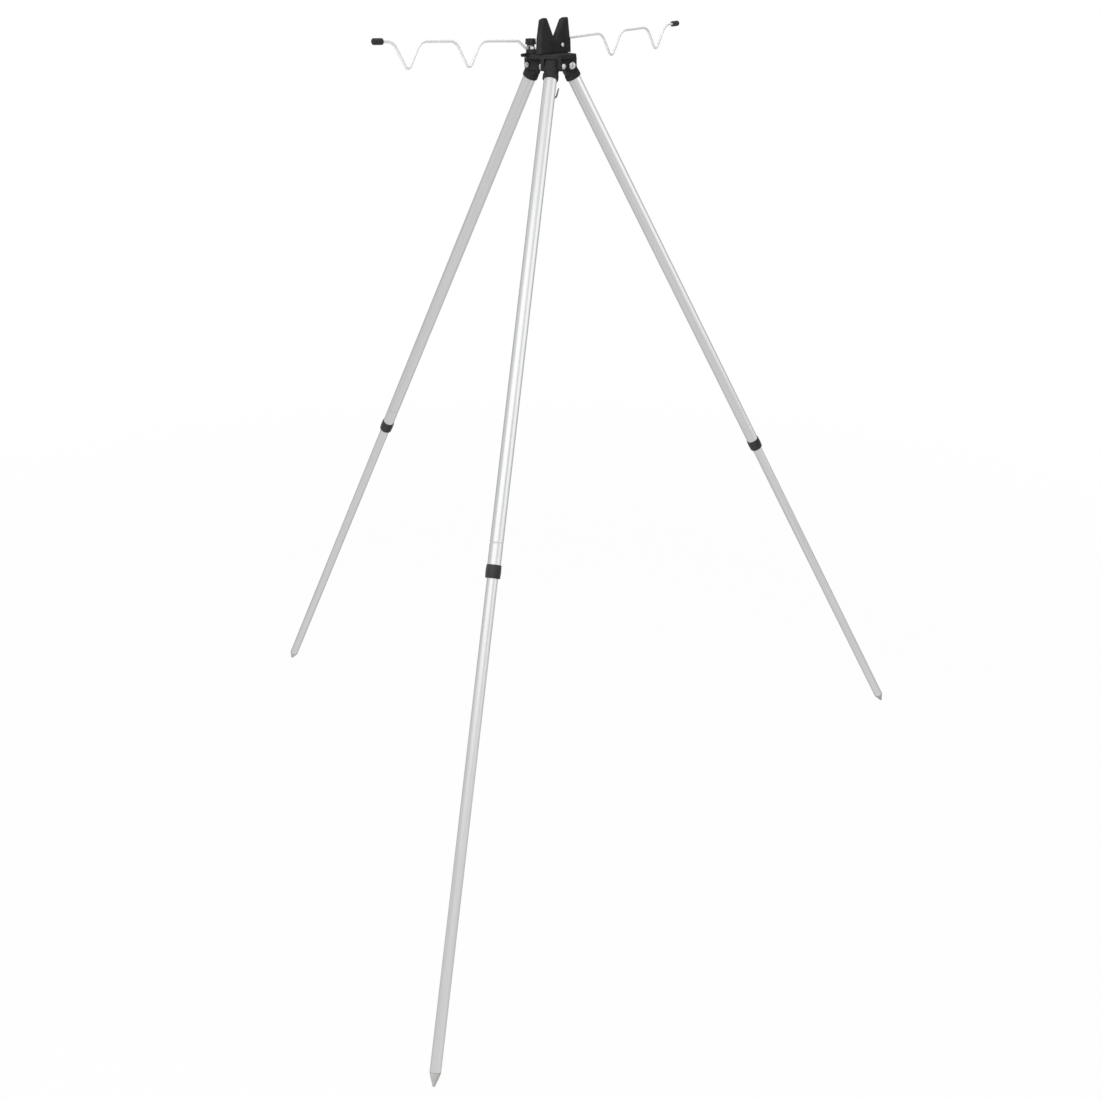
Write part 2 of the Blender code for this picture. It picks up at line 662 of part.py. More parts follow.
def make_bracket_screws():
    level = BRACKET_SCREW_HEAD_Z - CLEARANCE
    for side, sign in (("left", -1), ("right", 1)):
        place = (sign * BRACKET_SCREW_X, BRACKET_SCREW_Y, level)
        make_screw("bracket_screw_" + side, BRACKET_SCREW_LENGTH, hub_frame, place, (0, 0, 0))


# Rod fork

def between(z, low, high, first, last):
    """A size that runs evenly from first at height low to last at height high."""
    return first + (last - first) * (z - low) / (high - low)


def fork_half(z):
    if z < VEE_BOTTOM:
        return between(z, PLATE_TOP + CLEARANCE, VEE_BOTTOM, FORK_FOOT_HALF, FORK_WAIST_HALF)
    return between(z, VEE_BOTTOM, FORK_TOP, FORK_WAIST_HALF, FORK_TIP_HALF)


def horn_discs(sign):
    """A horn's rounded corners at each level, with one more disc for the ridge of its crowned front."""
    levels = ((VEE_BOTTOM - HORN_SINK, 0), (VEE_BOTTOM, 0), (FORK_TOP - HORN_ROUND, 0), (FORK_TOP, HORN_ROUND))
    ridge = FORK_PLANE - FORK_DEPTH + HORN_STEP + HORN_FRONT_RADIUS
    discs = []
    for z, inset in levels:
        fall = HORN_FALL if z > VEE_BOTTOM else 0
        for at_back in (False, True):
            height = z - fall if at_back else z
            radius = HORN_BACK_RADIUS if at_back else HORN_FRONT_RADIUS
            share_at = max(height, VEE_BOTTOM)
            inner = between(share_at, VEE_BOTTOM, FORK_TOP, VEE_BOTTOM_HALF, VEE_TOP_HALF) + radius
            outer = fork_half(share_at) - HORN_STEP - radius
            back = between(share_at, VEE_BOTTOM, FORK_TOP, 0, FORK_DEPTH - FORK_TIP_DEPTH) + HORN_STEP
            y = FORK_PLANE - back - radius if at_back else ridge + HORN_CROWN
            discs.append((sign * inner, y, height, radius - inset))
            discs.append((sign * outer, y, height, radius - inset))
            if not at_back:
                discs.append((sign * (inner + outer) / 2, ridge, height, radius - inset))
    return discs


def make_fork():
    bottom = PLATE_TOP + CLEARANCE
    discs = []
    for z in (bottom, VEE_BOTTOM):
        for sign in (-1, 1):
            x = sign * (fork_half(z) - FORK_CORNER)
            discs.append((x, FORK_PLANE - FORK_CORNER, z, FORK_CORNER))
            discs.append((x, FORK_PLANE - FORK_DEPTH + FORK_CORNER, z, FORK_CORNER))
    fork = add_object("rod_fork", mesh_from(hull_of_discs(discs), "rod_fork"), BLACK_NYLON, hub_frame)
    for sign in (-1, 1):
        join(fork, tool_from(hull_of_discs(horn_discs(sign)), "horn", hub_frame))
    across = (-math.pi / 2, 0, 0)
    front_place = (FORK_SCREW_X, FORK_PLANE - FORK_DEPTH, FORK_SCREW_Z)
    rear_place = (-FORK_SCREW_X, FORK_PLANE, FORK_SCREW_Z)
    drill(fork, DIMPLE_OD - 2 * CLEARANCE, -OVERRUN, DIMPLE_DEPTH, hub_frame, front_place, across)
    drill(fork, SCREW_OD, -OVERRUN, FORK_DEPTH + OVERRUN, hub_frame, front_place, across)
    reach = FORK_SCREW_LENGTH - UPRIGHT_DEPTH + FORK_SCREW_PILOT
    drill(fork, SCREW_OD, -reach, FORK_SCREW_PILOT, hub_frame, rear_place, across)


def make_fork_screws():
    seat = FORK_PLANE - FORK_DEPTH + DIMPLE_DEPTH - CLEARANCE
    back = FORK_PLANE + CLEARANCE + UPRIGHT_DEPTH + CLEARANCE
    make_screw("fork_screw_front", FORK_SCREW_LENGTH, hub_frame,
               (FORK_SCREW_X, seat, FORK_SCREW_Z), (-math.pi / 2, 0, 0))
    make_screw("fork_screw_rear", FORK_SCREW_LENGTH, hub_frame,
               (-FORK_SCREW_X, back, FORK_SCREW_Z), (math.pi / 2, 0, 0))


# Arm pivots: stud, washer and knob

BOSS_TOP = PLATE_TOP + CLEARANCE + BOSS_HEIGHT
EYE_Z = BOSS_TOP + CLEARANCE + WIRE_OD / 2
WASHER_Z = EYE_Z + WIRE_OD / 2 + CLEARANCE
KNOB_Z = WASHER_Z + WASHER_THICKNESS + CLEARANCE


def make_stud(side):
    """The arm's pivot: its hexagon head sits in a pocket under the plate, so it can't turn."""
    top = KNOB_Z + STUD_IN_KNOB
    radius = STUD_OD / 2
    middle = STUD_HEAD_TOP - STUD_HEAD / 2
    profile = [(0, top), (radius - THREAD_CHAMFER, top), (radius, top - THREAD_CHAMFER), (radius, middle),
               (0, middle)]
    stud = turned("pivot_stud_" + side, profile, BRIGHT_STEEL, arm_frames[side], steps=TINY_STEPS)
    head = rod_mesh(across_corners(STUD_FLATS) / 2, STUD_HEAD_TOP - STUD_HEAD, STUD_HEAD_TOP, sides=HEXAGON)
    join(stud, tool_from(head, "stud_head", arm_frames[side]))


def make_washer(side):
    outer = WASHER_OD / 2
    inner = STUD_OD / 2 + CLEARANCE
    top = WASHER_Z + WASHER_THICKNESS
    profile = [(outer, top), (outer, WASHER_Z), (inner, WASHER_Z), (inner, top)]
    turned("pivot_washer_" + side, profile, BRIGHT_STEEL, arm_frames[side], steps=SMALL_STEPS, closed=True)


def make_knob(side):
    count = KNOB_LOBES * KNOB_POINTS_PER_LOBE
    outline = []
    for i in range(count):
        angle = FULL_TURN * i / count
        lobe = 0.5 + 0.5 * math.cos(KNOB_LOBES * angle)
        radius = KNOB_RADIUS - KNOB_LOBE_DEPTH * (1 - lobe) ** 2
        outline.append((radius * math.cos(angle), radius * math.sin(angle)))
    grip_bottom = KNOB_Z + KNOB_COLLAR_HEIGHT
    bm = solid_from_outline(outline, grip_bottom, KNOB_Z + KNOB_HEIGHT)
    for vert in bm.verts:
        if vert.co.z > grip_bottom + MERGE:
            vert.co.x *= KNOB_TOP_RADIUS / KNOB_RADIUS
            vert.co.y *= KNOB_TOP_RADIUS / KNOB_RADIUS
    name = "clamp_knob_" + side
    knob = add_object(name, mesh_from(bm, name), BLACK_NYLON, arm_frames[side])
    bevel(knob, KNOB_EDGE, segments=1, angle=50)
    collar = rod_mesh(KNOB_COLLAR_RADIUS, KNOB_Z, grip_bottom + KNOB_EDGE)
    join(knob, tool_from(collar, "knob_collar", arm_frames[side]))
    bore_top = KNOB_Z + STUD_IN_KNOB + CLEARANCE
    drill(knob, STUD_OD, KNOB_Z - OVERRUN, bore_top, arm_frames[side], sides=TINY_STEPS)


# Rod arms

def line_height(x):
    """Height of the arm's straight line at a distance from the hub's axis."""
    return ARM_LINE_Z + x * math.tan(ARM_RISE)


def dip_overshoot():
    """How far below the dip's bottom its two slanting sides would meet."""
    slant = math.atan2(DIP_HALF, DIP_DEPTH)
    return DIP_BOTTOM_ROUND * (1 / math.sin(slant) - 1)


def arm_path():
    """Centre line of an arm in its frame: eye round the stud, climb, dips, end."""
    ring = STUD_OD / 2 + 2 * CLEARANCE + WIRE_OD / 2
    eye = [(x, y, EYE_Z) for x, y in arc((0, 0), ring, EYE_OPENING, EYE_CLOSING, EYE_STEPS)]
    corners = [(ring, EYE_Z, 0), (NECK_START, EYE_Z, NECK_ROUND),
               (NECK_END, line_height(PIVOT_X + NECK_END), NECK_ROUND)]
    low = DIP_DEPTH + dip_overshoot()
    for i in range(DIP_COUNT):
        station = FIRST_DIP + i * DIP_SPACING
        for offset, drop, radius in ((-DIP_HALF, 0, DIP_TOP_ROUND), (0, low, DIP_BOTTOM_ROUND),
                                     (DIP_HALF, 0, DIP_TOP_ROUND)):
            x = station + offset
            corners.append((x - PIVOT_X, line_height(x) - drop, radius))
    corners.append((ARM_END - PIVOT_X, line_height(ARM_END), 0))
    run = [(x, 0, z) for x, z in rounded(corners, BEND_STEPS, closed=False)[1:]]
    return eye + run


def make_arm(side):
    wire("rack_arm_" + side, arm_path(), WIRE_OD, WHITE_COATING, arm_frames[side])
    inner = WIRE_OD / 2 + CLEARANCE
    outer = CAP_OD / 2
    depth = CAP_OVER_WIRE + CLEARANCE
    corners = [(0, CAP_LENGTH, 0), (outer, CAP_LENGTH, CAP_ROUND), (outer, CAP_ROUND, 0)]
    end = rounded(corners, steps=2, closed=False)
    mouth = [(outer, CAP_ROUND / 2), (outer - CAP_ROUND / 2, 0), (inner, 0), (inner, depth), (0, depth)]
    profile = end[:-1] + mouth
    x = ARM_END - CAP_OVER_WIRE * math.cos(ARM_RISE)
    place = (x - PIVOT_X, 0, line_height(x))
    turned("end_cap_" + side, profile, BLACK_RUBBER, arm_frames[side], place,
           (0, math.pi / 2 - ARM_RISE, 0), steps=SMALL_STEPS)


# Ballast hook

def make_hook():
    top = PLATE_TOP - CLEARANCE
    neck = top - HOOK_HEAD_HEIGHT
    head = HOOK_HEAD_OD / HOOK_WIRE
    centre = (HOOK_BEND, -HOOK_DROP)
    bend = arc(centre, HOOK_BEND, 180, 360, HOOK_STEPS)
    tip = (2 * HOOK_BEND + HOOK_TIP_RISE * HOOK_TIP_LEAN, -HOOK_DROP + HOOK_TIP_RISE)
    side_view = [(0, top), (0, neck), (0, neck - HOOK_NECK), (0, -HOOK_DROP / 2)] + bend + [tip]
    radii = [head, head] + [1.0] * (len(side_view) - 2)
    turn = Vector((math.cos(HOOK_TURN), math.sin(HOOK_TURN)))
    points = [(x * turn.x, x * turn.y, z) for x, z in side_view]
    wire("ballast_hook", points, HOOK_WIRE, DARK_STEEL, hub_frame, radii)


# Legs

def knuckle_outline():
    """Side view of a ferrule's knuckle in its leg's frame: x outwards, second value up the leg."""
    foot = -SKIRT_START - SKIRT_FLARE / 3
    inner_side = [(-NECK_RADIUS, foot), (-NECK_RADIUS, -KNUCKLE_SHOULDER)]
    crown = arc((0, 0), KNUCKLE_RADIUS, 180 - KNUCKLE_BACK, 90 + math.degrees(SPREAD), 6)
    up = Vector((math.sin(SPREAD), math.cos(SPREAD)))
    level = Vector((math.cos(SPREAD), -math.sin(SPREAD)))
    heel = up * KNUCKLE_RADIUS
    heel = heel + level * ((NECK_RADIUS - heel.x) / level.x)
    return inner_side + crown + [(heel.x, heel.y), (NECK_RADIUS, foot)]


def make_ferrule(side):
    frame = leg_frames[side]
    half = KNUCKLE_WIDTH / 2
    name = "ferrule_" + side
    bm = solid_from_outline(knuckle_outline(), -half, half, "XZ")
    ferrule = add_object(name, mesh_from(bm, name), BLACK_NYLON, frame)
    bevel(ferrule, KNUCKLE_EDGE, segments=2, angle=60)
    outer = SKIRT_OD / 2
    round_bar = rod_mesh(outer, -UPPER_OD, UPPER_OD, TUBE_STEPS)
    combine(ferrule, tool_from(round_bar, "round_bar", frame), "INTERSECT")
    tube_outer = UPPER_OD / 2 + CLEARANCE
    tube_inner = UPPER_OD / 2 - UPPER_WALL - CLEARANCE
    bore = SPIGOT_BORE / 2
    spigot_end = -TUBE_TOP - SPIGOT_LENGTH
    neck_top = -SKIRT_START + NECK_RISE
    shelf = -TUBE_TOP + CLEARANCE
    roof = -SKIRT_START - SPIGOT_ROOF
    profile = [(0, neck_top), (NECK_RADIUS - NECK_CHAMFER, neck_top), (NECK_RADIUS, -SKIRT_START),
               (outer, -SKIRT_START - SKIRT_FLARE), (outer, -SKIRT_END + SKIRT_RIM),
               (outer - SKIRT_RIM_DEPTH, -SKIRT_END), (tube_outer, -SKIRT_END), (tube_outer, shelf),
               (tube_inner, shelf), (tube_inner, spigot_end), (bore, spigot_end), (bore, roof), (0, roof)]
    join(ferrule, as_tool(turned("skirt", profile, BLACK_NYLON, frame)))
    drill(ferrule, BOLT_OD, -half - OVERRUN, half + OVERRUN, frame, rotation=(math.pi / 2, 0, 0))


def make_upper_tube(side):
    outer = UPPER_OD / 2
    inner = outer - UPPER_WALL
    top = -TUBE_TOP
    bottom = top - UPPER_LENGTH
    middle = crimp_height()
    half = CRIMP_WIDTH / 2
    floor = CRIMP_FLOOR / 2
    groove = ((half, 0), (floor, CRIMP_DEPTH), (-floor, CRIMP_DEPTH), (-half, 0))
    profile = [(outer, top)]
    profile += [(outer - depth, middle + height) for height, depth in groove]
    profile += [(outer, bottom), (inner, bottom)]
    profile += [(inner - depth, middle + height) for height, depth in reversed(groove)]
    profile += [(inner, top)]
    turned("upper_tube_" + side, profile, SATIN_ALUMINIUM, leg_frames[side], closed=True)


def collar_top():
    return -TUBE_TOP - UPPER_LENGTH - COLLAR_LIP + COLLAR_LENGTH


def crimp_height():
    return collar_top() + CRIMP_RISE


def make_collar(side):
    outer = COLLAR_OD / 2
    over_upper = UPPER_OD / 2 + CLEARANCE
    over_lower = LOWER_OD / 2 + CLEARANCE
    top = collar_top()
    bottom = top - COLLAR_LENGTH
    shelf = -TUBE_TOP - UPPER_LENGTH - CLEARANCE
    profile = [(over_upper + COLLAR_TOP_FLAT, top), (outer - COLLAR_CROWN, top - COLLAR_TOP_SLOPE),
               (outer, top - COLLAR_WAIST), (outer, bottom + COLLAR_WAIST),
               (outer - COLLAR_CROWN, bottom + COLLAR_FOOT_SLOPE), (outer - COLLAR_FOOT_CHAMFER, bottom),
               (over_lower, bottom), (over_lower, shelf), (over_upper, shelf), (over_upper, top)]
    turned("collar_" + side, profile, BLACK_NYLON, leg_frames[side], closed=True)


def lower_top():
    """Upper end of the lower tube: the flange above it stops just over the rolled groove."""
    return crimp_height() + CRIMP_WIDTH / 2 + SLEEVE_TO_CRIMP - LOCK_FLANGE


def make_lower_tube(side):
    outer = LOWER_OD / 2
    inner = outer - LOWER_WALL
    top = lower_top()
    bottom = -LEG_LENGTH + FOOT_CONE + FOOT_SHOULDER + CLEARANCE
    profile = [(outer, top), (outer, bottom), (inner, bottom), (inner, top)]
    turned("lower_tube_" + side, profile, SATIN_ALUMINIUM, lower_frames[side], closed=True)


def make_lock(side):
    plug = LOWER_OD / 2 - LOWER_WALL - CLEARANCE
    flange = UPPER_OD / 2 - UPPER_WALL - CLEARANCE
    spindle = SPINDLE_OD / 2
    seat = lower_top() + CLEARANCE
    shoulder = seat + LOCK_FLANGE
    neck = shoulder + CLEARANCE + SLEEVE_LENGTH + CLEARANCE
    head = flange - SPINDLE_HEAD_INSET
    crown = neck + SPINDLE_HEAD
    profile = [(0, crown), (head - SPINDLE_HEAD_CHAMFER, crown), (head, neck), (spindle, neck),
               (spindle, shoulder), (flange, shoulder), (flange, seat), (plug, seat),
               (plug, seat - LOCK_PLUG_LENGTH), (0, seat - LOCK_PLUG_LENGTH)]
    turned("lock_spindle_" + side, profile, WHITE_ACETAL, lower_frames[side], steps=TINY_STEPS)
    low = shoulder + CLEARANCE
    high = low + SLEEVE_LENGTH
    bore = spindle + CLEARANCE
    narrow = flange - SLEEVE_CHAMFER
    profile = [(narrow, high), (flange, high - SLEEVE_CHAMFER_LENGTH), (flange, low + SLEEVE_CHAMFER_LENGTH),
               (narrow, low), (bore, low), (bore, high)]
    sleeve = turned("lock_sleeve_" + side, profile, WHITE_ACETAL, lower_frames[side], steps=TINY_STEPS,
                    closed=True)
    half = SLEEVE_SLIT / 2
    slit = box_mesh((0, -half, low - NEAR_OVERRUN), (UPPER_OD, half, high + NEAR_OVERRUN))
    cut(sleeve, tool_from(slit, "slit", lower_frames[side]))


def make_foot(side):
    outer = LOWER_OD / 2
    spigot = outer - LOWER_WALL - CLEARANCE
    tip = -LEG_LENGTH
    shoulder = tip + FOOT_CONE
    seat = shoulder + FOOT_SHOULDER
    top = seat + FOOT_SPIGOT
    profile = [(0, top), (spigot - FOOT_CHAMFER, top), (spigot, top - FOOT_CHAMFER), (spigot, seat),
               (outer, seat), (outer, shoulder), (FOOT_TIP_RADIUS, tip), (0, tip)]
    turned("foot_plug_" + side, profile, GREY_NYLON, lower_frames[side], steps=TUBE_STEPS)


def make_hinge(side):
    """Bolt and nut, lying across the leg: the head on one cheek and the nut on the other."""
    reach = KNUCKLE_WIDTH / 2 + CLEARANCE + CHEEK + CLEARANCE
    shank = BOLT_OD / 2
    head = BOLT_HEAD_OD / 2
    end = reach + NUT_HEIGHT + BOLT_PROUD
    profile = [(0, end), (shank - THREAD_CHAMFER, end), (shank, end - THREAD_CHAMFER), (shank, -reach),
               (head, -reach)]
    profile += [(head * wide, -reach - BOLT_HEAD_HEIGHT * high) for wide, high in BOLT_HEAD_CROWN]
    profile.append((0, -reach - BOLT_HEAD_HEIGHT))
    across = (-math.pi / 2, 0, 0)
    turned("hinge_bolt_" + side, profile, BRIGHT_STEEL, leg_frames[side], rotation=across, steps=SMALL_STEPS)
    bm = rod_mesh(across_corners(NUT_FLATS) / 2, reach, reach + NUT_HEIGHT, sides=HEXAGON)
    name = "hinge_nut_" + side
    nut = add_object(name, mesh_from(bm, name), BRIGHT_STEEL, leg_frames[side], rotation=across)
    bevel(nut, NUT_CHAMFER, segments=1, angle=80)
    drill(nut, BOLT_OD, reach - OVERRUN, reach + NUT_HEIGHT + OVERRUN, leg_frames[side], rotation=across)


make_hub()
make_bracket()
make_bracket_screws()
make_fork()
make_fork_screws()
for arm_side in arm_frames:
    make_stud(arm_side)
    make_washer(arm_side)
    make_knob(arm_side)
    make_arm(arm_side)
make_hook()
for leg_side in LEG_TURNS:
    make_hinge(leg_side)
    make_ferrule(leg_side)
    make_upper_tube(leg_side)
    make_collar(leg_side)
    make_lower_tube(leg_side)
    make_lock(leg_side)
    make_foot(leg_side)
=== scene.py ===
import json
import math

import bmesh
import bpy
from mathutils import Matrix, Vector


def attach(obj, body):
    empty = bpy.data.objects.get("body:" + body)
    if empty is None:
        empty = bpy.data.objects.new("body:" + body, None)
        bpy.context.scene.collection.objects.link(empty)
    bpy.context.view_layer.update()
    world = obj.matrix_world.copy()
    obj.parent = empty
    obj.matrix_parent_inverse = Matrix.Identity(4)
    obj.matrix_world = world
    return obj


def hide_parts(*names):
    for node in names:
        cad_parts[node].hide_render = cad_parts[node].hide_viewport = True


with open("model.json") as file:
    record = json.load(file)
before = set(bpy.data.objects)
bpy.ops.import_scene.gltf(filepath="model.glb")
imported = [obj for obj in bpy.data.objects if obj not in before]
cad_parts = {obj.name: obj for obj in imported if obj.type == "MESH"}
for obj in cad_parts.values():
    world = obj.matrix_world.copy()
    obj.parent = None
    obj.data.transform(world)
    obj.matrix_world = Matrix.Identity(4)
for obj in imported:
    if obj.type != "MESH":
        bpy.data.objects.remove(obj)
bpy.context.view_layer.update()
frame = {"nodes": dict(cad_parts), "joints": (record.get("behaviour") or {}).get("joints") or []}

fullTurn = 2 * math.pi
tiny = 0.00001          # points closer than this are one point
gap = 0.0003            # what the frame leaves between neighbours
beyond = 0.01           # how far a cutting tool reaches past what it cuts


# Places on the tripod, all taken from the joints

joints = {joint["name"]: joint for joint in frame["joints"]}
legSides = ("rear", "left", "right")
armSides = ("left", "right")
signs = (-1, 1)


def placeFrom(origin, across, upward):
    z = Vector(upward).normalized()
    y = Vector(across).normalized()
    place = Matrix((y.cross(z), y, z)).transposed().to_4x4()
    place.translation = Vector(origin)
    return place


def shift(x, y, z):
    return Matrix.Translation((x, y, z))


def turnAbout(axis, degrees):
    return Matrix.Rotation(math.radians(degrees), 4, axis)


hubPlace = Matrix.Translation(Vector(joints["hook_turn"]["pos_m"]))
hubOrigin = hubPlace.translation
legPlaces = {}
for side in legSides:
    fold = joints["leg_fold_" + side]
    legPlaces[side] = placeFrom(fold["pos_m"], fold["axis"], joints["leg_slide_" + side]["axis"])
armPlaces = {}
for side, outward in zip(armSides, signs):
    armPlaces[side] = placeFrom(joints["arm_swing_" + side]["pos_m"], (0, outward, 0), (0, 0, 1))


def measure(node, place):
    # lowest and highest corner of a CAD node, seen in its own place
    back = place.inverted()
    points = [back @ vert.co for vert in frame["nodes"][node].data.vertices]
    low = Vector([min(point[i] for point in points) for i in range(3)])
    high = Vector([max(point[i] for point in points) for i in range(3)])
    return low, high


# Node trees

def addNode(tree, kind, inputs=None, **settings):
    node = tree.nodes.new(kind)
    for name, value in settings.items():
        setattr(node, name, value)
    for key, value in (inputs or {}).items():
        if isinstance(value, bpy.types.NodeSocket):
            tree.links.new(value, node.inputs[key])
        else:
            node.inputs[key].default_value = value
    return node


def output(tree, kind, inputs=None, **settings):
    return addNode(tree, kind, inputs, **settings).outputs[0]


def maths(tree, operation, *values, clamp=False):
    return output(tree, "ShaderNodeMath", dict(enumerate(values)), operation=operation, use_clamp=clamp)


def times(tree, first, second):
    return maths(tree, "MULTIPLY", first, second)


def minus(tree, first, second):
    return maths(tree, "SUBTRACT", first, second)


def ramp(tree, value, fromLow, fromHigh, toLow=0.0, toHigh=1.0):
    # a value carried over from one range to another
    return output(tree, "ShaderNodeMapRange", {0: value, 1: fromLow, 2: fromHigh, 3: toLow, 4: toHigh})


def noise(tree, where, scale, detail=2.0, **more):
    return output(tree, "ShaderNodeTexNoise", {"Vector": where, "Scale": scale, "Detail": detail, **more})


def newTree(name, kind, inputs, outputs):
    # an input is given as a number to start from, or as the name of its kind of socket
    tree = bpy.data.node_groups.new(name, kind)
    for label, value in inputs.items():
        named = isinstance(value, str)
        socketKind = value if named else type(value).__name__.title()
        socket = tree.interface.new_socket(label, in_out="INPUT", socket_type="NodeSocket" + socketKind)
        if not named:
            socket.default_value = value
    for label, socketKind in outputs.items():
        tree.interface.new_socket(label, in_out="OUTPUT", socket_type="NodeSocket" + socketKind)
    given = tree.nodes.new("NodeGroupInput").outputs
    result = tree.nodes.new("NodeGroupOutput").inputs
    return tree, given, result


# Shared effects; pairs of numbers are the range of a noise or an angle that becomes 0 to 1

effectSizes = {
    "edgeFacing": (0.995, 0.90), "wornScale": 170.0, "wornPatches": (0.42, 0.66), "pits": 0.35,
    "lines": (("Height", 1.0, 3.0), ("Tone", 0.22, 4.0), ("Streak", 0.06, 2.0)),
    "hairTurns": ((0.3, 0.9, 0.2), (1.2, -0.4, 0.8), (0.1, 0.5, 1.7)), "hairStretch": 0.06, "hairFiner": 6.0,
    "hairs": (0.66, 0.74), "hairRegions": (0.45, 0.62), "dustUpward": (0.35, 1.0), "dustScale": 320.0,
    # sideways is the range over which faces turned along X take the painted light of the side colour
    "dustSpecks": (0.40, 0.75), "sideways": (0.25, 0.85)}


def newEffect(name, inputs, outputs=("Mask",)):
    made = {label: "Float" for label in outputs}
    return newTree(name, "ShaderNodeTree", {"Coordinates": "Vector", **inputs}, made)


def endMask(tree, found, given, result):
    tree.links.new(maths(tree, "MULTIPLY", found, given["Amount"], clamp=True), result["Mask"])
    return tree


def normalParts(tree):
    normal = addNode(tree, "ShaderNodeTexCoord").outputs["Normal"]
    return addNode(tree, "ShaderNodeSeparateXYZ", {0: normal}).outputs


def makeEdgeWear(size):
    # edges found by rounding the normal, rubbed in patches
    tree, given, result = newEffect("edgeWear", {"Width": 0.0006, "Amount": 0.5})
    rounded = output(tree, "ShaderNodeBevel", {"Radius": given["Width"]}, samples=6)
    surface = addNode(tree, "ShaderNodeNewGeometry").outputs["Normal"]
    facing = addNode(tree, "ShaderNodeVectorMath", {0: rounded, 1: surface}, operation="DOT_PRODUCT")
    edge = ramp(tree, facing.outputs["Value"], *size["edgeFacing"])
    patches = noise(tree, given["Coordinates"], size["wornScale"], 5.0)
    return endMask(tree, times(tree, edge, ramp(tree, patches, *size["wornPatches"])), given, result)


def makeMouldSkin(size):
    # grain and pits for the relief, slow clouds for the tone
    tree, given, result = newEffect("mouldSkin", {"Grain": 1800.0, "Flow": 45.0}, ("Height", "Tone"))
    where = given["Coordinates"]
    fine = noise(tree, where, given["Grain"], 3.0)
    pits = output(tree, "ShaderNodeTexVoronoi", {"Vector": where, "Scale": given["Grain"]})
    tree.links.new(output(tree, "ShaderNodeMix", {0: size["pits"], 2: fine, 3: pits}), result["Height"])
    tree.links.new(noise(tree, where, given["Flow"], 6.0, Distortion=0.6), result["Tone"])
    return tree


def makeDrawnLines(size):
    # noise drawn out along a tube, at three sizes
    tree, given, result = newEffect("drawnLines", {"Lines": 1500.0, "Stretch": 0.012},
                                    ("Height", "Tone", "Streak"))
    squeeze = output(tree, "ShaderNodeCombineXYZ", {0: 1.0, 1: 1.0, 2: given["Stretch"]})
    drawn = output(tree, "ShaderNodeVectorMath", {0: given["Coordinates"], 1: squeeze}, operation="MULTIPLY")
    for label, share, detail in size["lines"]:
        tree.links.new(noise(tree, drawn, times(tree, given["Lines"], share), detail), result[label])
    return tree


def makeScuffs(size):
    # hairlines in three directions, in some regions only
    tree, given, result = newEffect("scuffs", {"Size": 90.0, "Amount": 0.5})
    where = given["Coordinates"]
    hairs = []
    for turn in size["hairTurns"]:
        leaned = output(tree, "ShaderNodeMapping", {"Vector": where, "Rotation": turn,
                                                    "Scale": (1.0, 1.0, size["hairStretch"])})
        hair = noise(tree, leaned, times(tree, given["Size"], size["hairFiner"]))
        hairs.append(ramp(tree, hair, *size["hairs"]))
    marks = maths(tree, "MAXIMUM", maths(tree, "MAXIMUM", hairs[0], hairs[1]), hairs[2])
    regions = ramp(tree, noise(tree, where, given["Size"]), *size["hairRegions"])
    return endMask(tree, times(tree, marks, regions), given, result)


def makeSettledDust(size):
    # specks on faces that look up
    tree, given, result = newEffect("settledDust", {"Amount": 0.3})
    upward = ramp(tree, normalParts(tree)[2], *size["dustUpward"])
    specks = noise(tree, given["Coordinates"], size["dustScale"], 7.0, Roughness=0.7)
    return endMask(tree, times(tree, upward, ramp(tree, specks, *size["dustSpecks"])), given, result)


def makeCoarseSides(size):
    # painted light: faces turned towards plus or minus X get a lighter colour, standing in for light falling
    # on the left-facing sides; the mask takes both sides alike and the surface is not made coarser
    tree, given, result = newTree("paintedLitSides", "ShaderNodeTree", {"Amount": 0.5}, {"Mask": "Float"})
    across = maths(tree, "ABSOLUTE", normalParts(tree)[0])
    return endMask(tree, ramp(tree, across, *size["sideways"]), given, result)


edgeWear = makeEdgeWear(effectSizes)
mouldSkin = makeMouldSkin(effectSizes)
drawnLines = makeDrawnLines(effectSizes)
scuffs = makeScuffs(effectSizes)
settledDust = makeSettledDust(effectSizes)
paintedLitSides = makeCoarseSides(effectSizes)
print("shared effects: 6 groups")


# Materials

def startMaterial(name, fixed):
    # fixed holds what is the same all over the surface, on the shader's own sockets
    material = bpy.data.materials.new(name)
    material.use_nodes = True
    tree = material.node_tree
    shader = tree.nodes["Principled BSDF"]
    for key, value in fixed.items():
        shader.inputs[key].default_value = value
    return material, tree, shader


def effect(tree, group, **inputs):
    return addNode(tree, "ShaderNodeGroup", inputs, node_tree=group).outputs


def ownCoordinates(tree):
    # a piece's coordinates before it was put in place, along its own length
    return addNode(tree, "ShaderNodeAttribute", attribute_name="own").outputs["Vector"]


def objectCoordinates(tree):
    return addNode(tree, "ShaderNodeTexCoord").outputs["Object"]


def skinOf(tree, where, look):
    return effect(tree, mouldSkin, Coordinates=where, Grain=look["grain"], Flow=look["flow"])


def rubbed(tree, where, look):
    return effect(tree, edgeWear, Coordinates=where, Width=look["edge"], Amount=look["wear"])["Mask"]


def scuffed(tree, where, look):
    return effect(tree, scuffs, Coordinates=where, Size=look["scuffSize"], Amount=look["scuffs"])["Mask"]


def blendColours(tree, share, first, second):
    return addNode(tree, "ShaderNodeMix", {0: share, 6: first, 7: second}, data_type="RGBA").outputs[2]


toneRange = (0.35, 0.65)        # where a noise value goes from the dark to the light colour
roughRange = (0.3, 0.7)         # where it goes from the smoothest to the roughest


def between(tree, value, low, high):
    # a noise value spread over a range
    return ramp(tree, value, *roughRange, low, high)


